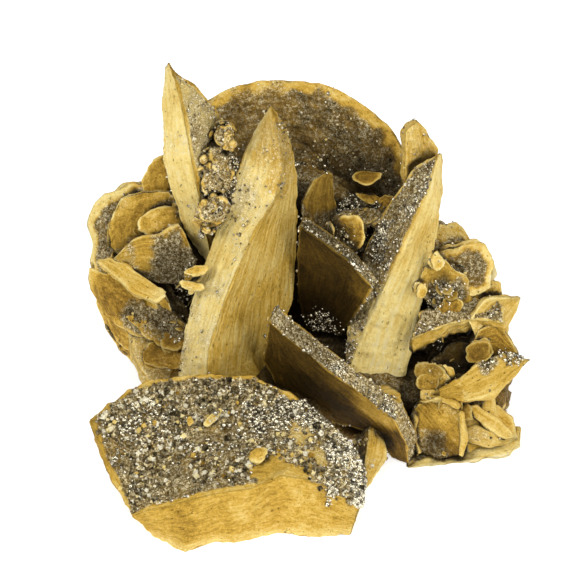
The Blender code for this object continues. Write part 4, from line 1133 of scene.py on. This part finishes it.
# How far the tone goes up and down with the streaks, the mottle, the speckle and the fine noise, and
# what it is counted by before it picks a colour of the clean siderite.
SHADE_HEIGHTS = (0.85, 0.35, 0.55, 0.5)
SHADE_SHARE = 0.7
CLEAN_STOPS = ((0.0, "shadow"), (0.21, "amber"), (0.43, "golden"), (0.7, "cream"), (1.05, "white"))
# The crust's darkest stop is painted shade between its grains.
CRUST_STOPS = ((0.4, "crust_gap_shade"), (0.5, "crust"), (0.6, "crust_pale"))
PYRITE_STOPS = ((0.35, "pyrite_dark"), (0.6, "pyrite"))
FINE_SHARE = 0.45  # of the fine noise in the crust's grains
DEPTH_SHARE, DEPTH_HEIGHTS, MOST_DEPTH = 1.7, (1.0, 1.2), 1.2  # the crust is darkened by the tone
COVER_SHARE, COVER_HEIGHT, COVER_START = 1.6, 1.8, -0.45  # where the crust's grains cover the face

# Flecks: cells in a metre or a unit, the chance below which a cell has none, how wide they are, and
# how much they cover. Pits lie anywhere, and dashes are drawn out along the growth lines.
PITS = (900, 0.65, 0.5, 0.75)
DASHES = (1.3, 0.63, 0.8, 0.6)
DASH_SHAPE = (4, 4, 1)
# How far the painted shade goes towards the dark recess colour.
PAINTED_SHADE_COVER = 0.93
BUMP_HEIGHTS = (0.9, 1.5, 0.6)  # of the speckle, the streaks and the fine noise
BUMP_DISTANCE = 0.0003
# Roughness at the low and at the high end of a noise: two of its values, then the roughness at each.
SIDERITE_GLOSS, PYRITE_GLOSS = (0.35, 0.65, 0.75, 0.35), (0.3, 0.7, 0.34, 0.12)
SIDERITE_SPECULAR, PYRITE_METAL, FLOOR_ROUGHNESS = 0.08, 0.8, 0.9
COLOUR_MIX = (0, 6, 7)  # inputs of a mix of colours: how much of the second, the first, the second


def add_node(tree, kind, inputs=None, **settings):
    """A shader node with its settings, and its inputs given as values or as other nodes' outputs."""
    made = tree.nodes.new("ShaderNode" + kind)
    for name, value in settings.items():
        setattr(made, name, value)
    for socket, value in (inputs or {}).items():
        if isinstance(value, bpy.types.NodeSocket):
            tree.links.new(value, made.inputs[socket])
        else:
            made.inputs[socket].default_value = value
    return made


def math_node(tree, operation, *values, clamp=False):
    return add_node(tree, "Math", dict(enumerate(values)), operation=operation, use_clamp=clamp).outputs[0]


def times(tree, value, factor):
    return math_node(tree, "MULTIPLY", value, factor)


def added(tree, first, *others):
    """The sum of several numbers."""
    for other in others:
        first = math_node(tree, "ADD", first, other)
    return first


def centred(tree, share, height):
    """A noise from 0 to 1 as a number about 0, from half this height below to half above."""
    return math_node(tree, "MULTIPLY_ADD", share, height, -height / 2)


def noise_node(tree, vector, texture):
    scale, detail, roughness = texture
    return add_node(tree, "TexNoise", {"Vector": vector, "Scale": scale, "Detail": detail,
                                       "Roughness": roughness}).outputs[0]


def ramp_node(tree, share, stops, colours):
    """Colours blended along stops, each a position and the name of its colour."""
    made = add_node(tree, "ValToRGB", {"Fac": share})
    ramp = made.color_ramp
    while len(ramp.elements) < len(stops):
        ramp.elements.new(0.5)
    for element, (position, name) in zip(ramp.elements, stops):
        element.position, element.color = position, (*getattr(colours, name), 1)
    return made.outputs["Color"]


def mix_node(tree, share, first, second, **settings):
    inputs = dict(zip(COLOUR_MIX, (share, first, second)))
    return add_node(tree, "Mix", inputs, data_type="RGBA", **settings).outputs[2]


def attribute_node(tree, name, output):
    return add_node(tree, "Attribute", attribute_name=name).outputs[output]


def channels(tree, colour):
    return add_node(tree, "SeparateColor", {0: colour}).outputs


def flecks(tree, vector, scale, rarity, width):
    """1 inside spots round the middles of some of the cells, wider from cell to cell."""
    cells = add_node(tree, "TexVoronoi", {"Vector": vector, "Scale": scale, "Randomness": 1.0})
    chance = channels(tree, cells.outputs["Color"])[0]
    radius = times(tree, math_node(tree, "SUBTRACT", chance, rarity), width)
    return math_node(tree, "LESS_THAN", cells.outputs["Distance"], radius)


def new_material(name):
    material = bpy.data.materials.new(name)
    material.use_nodes = True
    return material, material.node_tree, material.node_tree.nodes["Principled BSDF"]


def siderite_material(name, colours):
    """Siderite: amber to cream by tone, streaked along its growth lines, under a grey-brown crust
    of fine grains that lies where the crust value and the grain noise say, and darkened by painted
    shade in recesses."""
    material, tree, shader = new_material(name)
    place = add_node(tree, "TexCoord").outputs["Object"]
    tone, crust, dirt = channels(tree, attribute_node(tree, "finish", "Color"))
    lines = attribute_node(tree, "growth_lines", "Vector")
    streaks = noise_node(tree, lines, STREAKS)
    mottle, speckle, fine = (noise_node(tree, place, texture) for texture in (MOTTLE, SPECKLE, FINE))

    heights = zip((streaks, mottle, speckle, fine), SHADE_HEIGHTS)
    shade = added(tree, tone, *(centred(tree, value, height) for value, height in heights))
    clean = ramp_node(tree, times(tree, shade, SHADE_SHARE), CLEAN_STOPS, colours)
    pits = flecks(tree, place, *PITS[:3])
    clean = mix_node(tree, times(tree, pits, PITS[3]), clean, (*colours.shadow, 1))

    grains = add_node(tree, "Mix", {0: FINE_SHARE, 2: speckle, 3: fine}).outputs[0]
    grains = ramp_node(tree, grains, CRUST_STOPS, colours)
    depth = added(tree, times(tree, tone, DEPTH_SHARE), centred(tree, mottle, DEPTH_HEIGHTS[0]),
                  centred(tree, streaks, DEPTH_HEIGHTS[1]))
    depth = math_node(tree, "MINIMUM", depth, MOST_DEPTH)
    grains = mix_node(tree, 1.0, grains, depth, blend_type="MULTIPLY")
    cover = math_node(tree, "ADD", times(tree, crust, COVER_SHARE),
                      added(tree, centred(tree, speckle, COVER_HEIGHT), COVER_START), clamp=True)
    colour = mix_node(tree, cover, clean, grains)

    short = add_node(tree, "VectorMath", {0: lines, 1: DASH_SHAPE}, operation="MULTIPLY").outputs[0]
    dashes = flecks(tree, short, *DASHES[:3])
    colour = mix_node(tree, times(tree, dashes, DASHES[3]), colour, (*colours.shadow, 1))
    # Painted shade: the dark recess colour laid over the siderite where the crystals crowd in.
    colour = mix_node(tree, times(tree, dirt, PAINTED_SHADE_COVER), colour, (*colours.recess_shade, 1))
    tree.links.new(colour, shader.inputs["Base Color"])
    shader.inputs["Specular IOR Level"].default_value = SIDERITE_SPECULAR
    gloss = add_node(tree, "MapRange", dict(enumerate((fine, *SIDERITE_GLOSS)))).outputs[0]
    tree.links.new(gloss, shader.inputs["Roughness"])
    relief = added(tree, *(times(tree, value, height)
                           for value, height in zip((speckle, streaks, fine), BUMP_HEIGHTS)))
    relief = math_node(tree, "SUBTRACT", relief, pits)
    bump = add_node(tree, "Bump", {"Strength": 1.0, "Distance": BUMP_DISTANCE, "Height": relief})
    tree.links.new(bump.outputs[0], shader.inputs["Normal"])
    return material


def pyrite_material(name, colours):
    """Pyrite: bright pale brass, a little tarnished and duller from grain to grain."""
    material, tree, shader = new_material(name)
    spots = noise_node(tree, add_node(tree, "TexCoord").outputs["Object"], TARNISH)
    tree.links.new(ramp_node(tree, spots, PYRITE_STOPS, colours), shader.inputs["Base Color"])
    gloss = add_node(tree, "MapRange", dict(enumerate((spots, *PYRITE_GLOSS)))).outputs[0]
    tree.links.new(gloss, shader.inputs["Roughness"])
    shader.inputs["Metallic"].default_value = PYRITE_METAL
    return material


def floor_material(stage):
    material, _, shader = new_material("pale_floor")
    for socket, value in (("Base Color", (*stage.floor_colour, 1)), ("Roughness", FLOOR_ROUGHNESS),
                          ("Specular IOR Level", 0.0), ("Emission Color", (1, 1, 1, 1)),
                          ("Emission Strength", stage.floor_glow)):
        shader.inputs[socket].default_value = value
    return material


def material_of(name, make):
    """The specimen's siderite or pyrite, made the first time it is asked for."""
    if name not in bpy.data.materials:
        make(name, bpy.context.scene.siderite_colours)
    return bpy.data.materials[name]


# ---------------------------------------------------------------- settings


def colour_property(name, description, default):
    return FloatVectorProperty(name=name, description=description, default=default, size=3,
                               subtype="COLOR", min=0, max=1)


class SideriteColours(bpy.types.PropertyGroup):
    cream: colour_property("Cream", "The lightest blade edges", (0.98, 0.78, 0.29))
    white: colour_property("White", "The palest crumbs", (0.93, 0.86, 0.64))
    golden: colour_property("Golden", "Clean faces and rims", (0.7, 0.43, 0.065))
    amber: colour_property("Amber", "Darker clean faces", (0.3, 0.165, 0.021))
    shadow: colour_property("Brown", "The darkest streaks of clean faces", (0.09, 0.053, 0.01))
    crust: colour_property("Crust", "The crust's middle grey-brown", (0.34, 0.24, 0.09))
    # Painted shade: the near black between the crust's grains.
    crust_gap_shade: colour_property("Dark Crust", "Between the crust's grains", (0.03, 0.018, 0.005))
    crust_pale: colour_property("Pale Crust", "The crust's palest grains", (0.98, 0.86, 0.54))
    # Painted shade: the colour laid into the recesses between the crystals.
    recess_shade: colour_property("Recess", "Deep between the crystals", (0.012, 0.007, 0.002))
    pyrite: colour_property("Pyrite", "Bright pyrite faces", (0.98, 0.9, 0.68))
    pyrite_dark: colour_property("Dark Pyrite", "Tarnished pyrite faces", (0.1, 0.08, 0.045))


class GrainSettings(bpy.types.PropertyGroup):
    slab_count: IntProperty(name="Slab Grains", description="Pyrite crystals on the front slab",
                            default=4800, min=0, max=12000)
    blade_count: IntProperty(name="Blade Grains", description="Pyrite crystals on blades and plates",
                             default=4500, min=0, max=12000)
    other_count: IntProperty(name="Other Grains", description="Pyrite crystals on the other crystals",
                             default=2500, min=0, max=12000)
    smallest: FloatProperty(name="Smallest", description="Size of the smallest pyrite crystal",
                            default=0.00022, unit="LENGTH", min=0.0001)
    largest: FloatProperty(name="Largest", description="Size of the largest pyrite crystal",
                           default=0.0008, unit="LENGTH", min=0.0002)


class StageSettings(bpy.types.PropertyGroup):
    floor_colour: colour_property("Floor", "The plain floor", (0.95, 0.95, 0.94))
    floor_glow: FloatProperty(name="Floor Glow", description="Light that the floor gives, as a table "
                              "lit from below", default=0.62, min=0)
    sky: FloatProperty(name="Room Light", description="Even light from all round", default=0.125, min=0)
    key: FloatProperty(name="Key Light", description="Power of the soft light on the left",
                       default=1.72, min=0, unit="POWER")
    top: FloatProperty(name="Top Light", description="Power of the soft light overhead",
                       default=1.72, min=0, unit="POWER")
    fill: FloatProperty(name="Fill Light", description="Power of the soft light on the right",
                        default=2.35, min=0, unit="POWER")


# ---------------------------------------------------------------- operators


def add_siderite(name, mesh):
    add_piece(name, mesh, material_of("siderite_crystals", siderite_material))


class CrystalPiece:
    """Builds the crystals of one piece as one mesh."""

    bl_options = {"REGISTER", "UNDO"}
    piece = ""

    def execute(self, context):
        mesh = joined_mesh(self.piece, piece_crystals(self.piece))
        add_siderite(self.piece, mesh)
        return {"FINISHED"}


class SIDERITE_OT_front_slab(CrystalPiece, bpy.types.Operator):
    """Add the thick crusted slab that lies in front, and the shard beside it"""

    bl_idname = "siderite.front_slab"
    bl_label = "Front Slab"
    piece = "front_slab"


class SIDERITE_OT_central_blade(CrystalPiece, bpy.types.Operator):
    """Add the tall blade in the middle"""

    bl_idname = "siderite.central_blade"
    bl_label = "Central Blade"
    piece = "central_blade"


class SIDERITE_OT_left_blade(CrystalPiece, bpy.types.Operator):
    """Add the tall blade on the left and the lumps that grow against it"""

    bl_idname = "siderite.left_blade"
    bl_label = "Left Blade"
    piece = "left_blade"


class SIDERITE_OT_right_blade(CrystalPiece, bpy.types.Operator):
    """Add the leaning blade on the right, the blade behind it and its knobs"""

    bl_idname = "siderite.right_blade"
    bl_label = "Right Blade"
    piece = "right_blade"


class SIDERITE_OT_back_disc(CrystalPiece, bpy.types.Operator):
    """Add the large disc at the back"""

    bl_idname = "siderite.back_disc"
    bl_label = "Back Disc"
    piece = "back_disc"


class SIDERITE_OT_inner_plates(CrystalPiece, bpy.types.Operator):
    """Add the two slanting plates between the blades and the wedge under them"""

    bl_idname = "siderite.inner_plates"
    bl_label = "Inner Plates"
    piece = "inner_plates"


class SIDERITE_OT_hollow_crystals(CrystalPiece, bpy.types.Operator):
    """Add the small crystals in the hollow before the disc"""

    bl_idname = "siderite.hollow_crystals"
    bl_label = "Hollow Crystals"
    piece = "hollow_crystals"


class SIDERITE_OT_left_rosette(CrystalPiece, bpy.types.Operator):
    """Add the rosette of lens-shaped crystals on the left"""

    bl_idname = "siderite.left_rosette"
    bl_label = "Left Rosette"
    piece = "left_rosette"


class SIDERITE_OT_right_cluster(CrystalPiece, bpy.types.Operator):
    """Add the ledges, cups and small blades on the right"""

    bl_idname = "siderite.right_cluster"
    bl_label = "Right Cluster"
    piece = "right_cluster"


class SIDERITE_OT_rear_crystals(CrystalPiece, bpy.types.Operator):
    """Add the lens-shaped crystals round the back and the sides"""

    bl_idname = "siderite.rear_crystals"
    bl_label = "Rear Crystals"
    piece = "rear_crystals"


class SIDERITE_OT_core(CrystalPiece, bpy.types.Operator):
    """Add the lumps that everything grows from"""

    bl_idname = "siderite.core"
    bl_label = "Core"
    piece = "core"


# The groups of small crystals: name, the pieces that they lie on, how many there are, and sizes in mm.
LEAFLETS = (("leaflets_left", ("left_rosette",), 70, 1.5),
            ("leaflets_right", ("right_cluster", "core"), 130, 1.5),
            ("leaflets_rear", ("rear_crystals",), 150, 2.8))
CRUMBS = (("crumbs_slab", ("front_slab",), 5500, 0.16, 0.95),
          ("crumbs_others", ("left_blade", "central_blade", "right_blade", "inner_plates", "back_disc",
                             "hollow_crystals", "left_rosette", "right_cluster"), 4500, 0.12, 0.5))
# Those of pyrite have the name of the setting that counts them, and their share of the largest size.
PYRITE = (("pyrite_slab", ("front_slab",), "slab_count", 1.0),
          ("pyrite_blades", ("central_blade", "left_blade", "right_blade", "inner_plates"),
           "blade_count", 0.72),
          ("pyrite_others", ("back_disc", "hollow_crystals", "left_rosette", "right_cluster",
                             "rear_crystals", "core"), "other_count", 0.85))
LEAFLET_SEED, CRUMB_SEED, PYRITE_SEED = 11, 21, 1


class SIDERITE_OT_leaflets(bpy.types.Operator):
    """Add the small thin lenses that stand between the larger crystals"""

    bl_idname = "siderite.leaflets"
    bl_label = "Leaflets"
    bl_options = {"REGISTER", "UNDO"}

    def execute(self, context):
        for seed, (name, hosts, count, largest) in enumerate(LEAFLETS, LEAFLET_SEED):
            mesh = joined_mesh(name, leaflets(hosts, count, largest, seed))
            add_siderite(name, mesh)
        return {"FINISHED"}


class SIDERITE_OT_crumbs(bpy.types.Operator):
    """Strew broken bits of siderite over the crusts"""

    bl_idname = "siderite.crumbs"
    bl_label = "Crumbs"
    bl_options = {"REGISTER", "UNDO"}

    def execute(self, context):
        for seed, (name, hosts, count, smallest, largest) in enumerate(CRUMBS, CRUMB_SEED):
            mesh = joined_mesh(name, [crumbs(hosts, count, smallest, largest, seed)], smooth=False)
            add_siderite(name, mesh)
        return {"FINISHED"}


class SIDERITE_OT_pyrite(bpy.types.Operator):
    """Scatter the small pyrite crystals over the siderite"""

    bl_idname = "siderite.pyrite"
    bl_label = "Pyrite"
    bl_options = {"REGISTER", "UNDO"}

    def execute(self, context):
        grains = context.scene.siderite_grains
        small, large = grains.smallest / MM, grains.largest / MM
        for seed, (name, hosts, count, share) in enumerate(PYRITE, PYRITE_SEED):
            points, tris = pyrite_grains(hosts, getattr(grains, count), small, large * share, seed)
            mesh = faces_mesh(name, points, np.empty((0, 4), int), tris)
            add_piece(name, mesh, material_of("pyrite_crystals", pyrite_material))
        return {"FINISHED"}


class SIDERITE_OT_stage(bpy.types.Operator):
    """Add the pale floor, the soft lights and the camera"""

    bl_idname = "siderite.stage"
    bl_label = "Stage"
    bl_options = {"REGISTER", "UNDO"}

    def execute(self, context):
        stage = context.scene.siderite_stage
        add_floor(stage)
        add_lights(context.scene, stage)
        add_camera(context.scene)
        return {"FINISHED"}


# ---------------------------------------------------------------- stage

FLOOR_HALF = 3000
FLOOR_DROP = 0.05  # the floor lies this far under the flat underside
TARGET = np.array((-3.0, 2.0, 30.0))
# The middle and the size of each soft light, in mm.
LIGHTS = {"key": ((-420, -260, 420), 340), "fill": ((420, -380, 330), 560), "top": ((-40, -180, 680), 330)}
CAMERA_RISE = 35.0  # degrees above level
CAMERA_FAR = 600.0
NEAREST, FARTHEST = 10, 20000  # what the camera sees, in mm
VIEW_WIDTH = 97.75  # what the picture spans at the target
SENSOR = 36.0


def add_floor(stage):
    """One large square just under the specimen's flat underside."""
    corners = np.array(((-1, -1, 0), (1, -1, 0), (1, 1, 0), (-1, 1, 0))) * FLOOR_HALF - (0, 0, FLOOR_DROP)
    mesh = faces_mesh("floor", corners, np.array(((0, 1, 2, 3),)), np.empty((0, 3), int))
    mesh.materials.append(floor_material(stage))
    floor = bpy.data.objects.new("floor", mesh)
    bpy.context.scene.collection.objects.link(floor)


def add_light(scene, name, place, size, power):
    """A square soft light at a place in mm, turned to face the specimen."""
    lamp = bpy.data.lights.new(name, "AREA")
    lamp.size, lamp.energy = size * MM, power
    light = bpy.data.objects.new(name, lamp)
    light.location = np.array(place) * MM
    way = Vector(TARGET * MM) - light.location
    light.rotation_euler = way.to_track_quat("-Z", "Y").to_euler()
    scene.collection.objects.link(light)


def add_lights(scene, stage):
    world = bpy.data.worlds.new("soft_room")
    world.use_nodes = True
    background = world.node_tree.nodes["Background"]
    background.inputs["Color"].default_value = (1, 1, 1, 1)
    background.inputs["Strength"].default_value = stage.sky
    scene.world = world
    for name, (place, size) in LIGHTS.items():
        add_light(scene, name, place, size, getattr(stage, name))


def add_camera(scene):
    """A camera in front of the specimen that looks down at the target."""
    lens = bpy.data.cameras.new("camera")
    lens.sensor_width = SENSOR
    lens.lens = SENSOR * CAMERA_FAR / VIEW_WIDTH
    lens.clip_start, lens.clip_end = NEAREST * MM, FARTHEST * MM
    camera = bpy.data.objects.new("camera", lens)
    rise = math.radians(CAMERA_RISE)
    back = np.array((0, -math.cos(rise), math.sin(rise))) * CAMERA_FAR
    camera.location = (TARGET + back) * MM
    camera.rotation_euler = (math.radians(90 - CAMERA_RISE), 0, 0)
    scene.collection.objects.link(camera)
    scene.camera = camera
    scene.view_settings.view_transform = "Standard"


# ---------------------------------------------------------------- panel and registration

OPERATORS = (SIDERITE_OT_front_slab, SIDERITE_OT_central_blade, SIDERITE_OT_left_blade,
             SIDERITE_OT_right_blade, SIDERITE_OT_back_disc, SIDERITE_OT_inner_plates,
             SIDERITE_OT_hollow_crystals, SIDERITE_OT_left_rosette, SIDERITE_OT_right_cluster,
             SIDERITE_OT_rear_crystals, SIDERITE_OT_core, SIDERITE_OT_leaflets,
             SIDERITE_OT_crumbs, SIDERITE_OT_pyrite, SIDERITE_OT_stage)


class SIDERITE_PT_panel(bpy.types.Panel):
    """Lists the specimen's pieces and settings"""

    bl_idname = "SIDERITE_PT_panel"
    bl_label = "Siderite Specimen"
    bl_space_type = "VIEW_3D"
    bl_region_type = "UI"
    bl_category = "Siderite"

    def draw(self, context):
        for settings in (context.scene.siderite_colours, context.scene.siderite_grains,
                         context.scene.siderite_stage):
            box = self.layout.box()
            for name in settings.bl_rna.properties.keys():
                if name not in ("rna_type", "name"):
                    box.prop(settings, name)
        for operator in OPERATORS:
            self.layout.operator(operator.bl_idname)


CLASSES = (SideriteColours, GrainSettings, StageSettings, *OPERATORS, SIDERITE_PT_panel)


def register():
    for one in CLASSES:
        bpy.utils.register_class(one)
    bpy.types.Scene.siderite_colours = PointerProperty(type=SideriteColours)
    bpy.types.Scene.siderite_grains = PointerProperty(type=GrainSettings)
    bpy.types.Scene.siderite_stage = PointerProperty(type=StageSettings)


def unregister():
    del bpy.types.Scene.siderite_stage
    del bpy.types.Scene.siderite_grains
    del bpy.types.Scene.siderite_colours
    for one in reversed(CLASSES):
        bpy.utils.unregister_class(one)


def main():
    register()
    for operator in OPERATORS:
        group, name = operator.bl_idname.split(".")
        getattr(getattr(bpy.ops, group), name)()


if __name__ == "__main__":
    main()
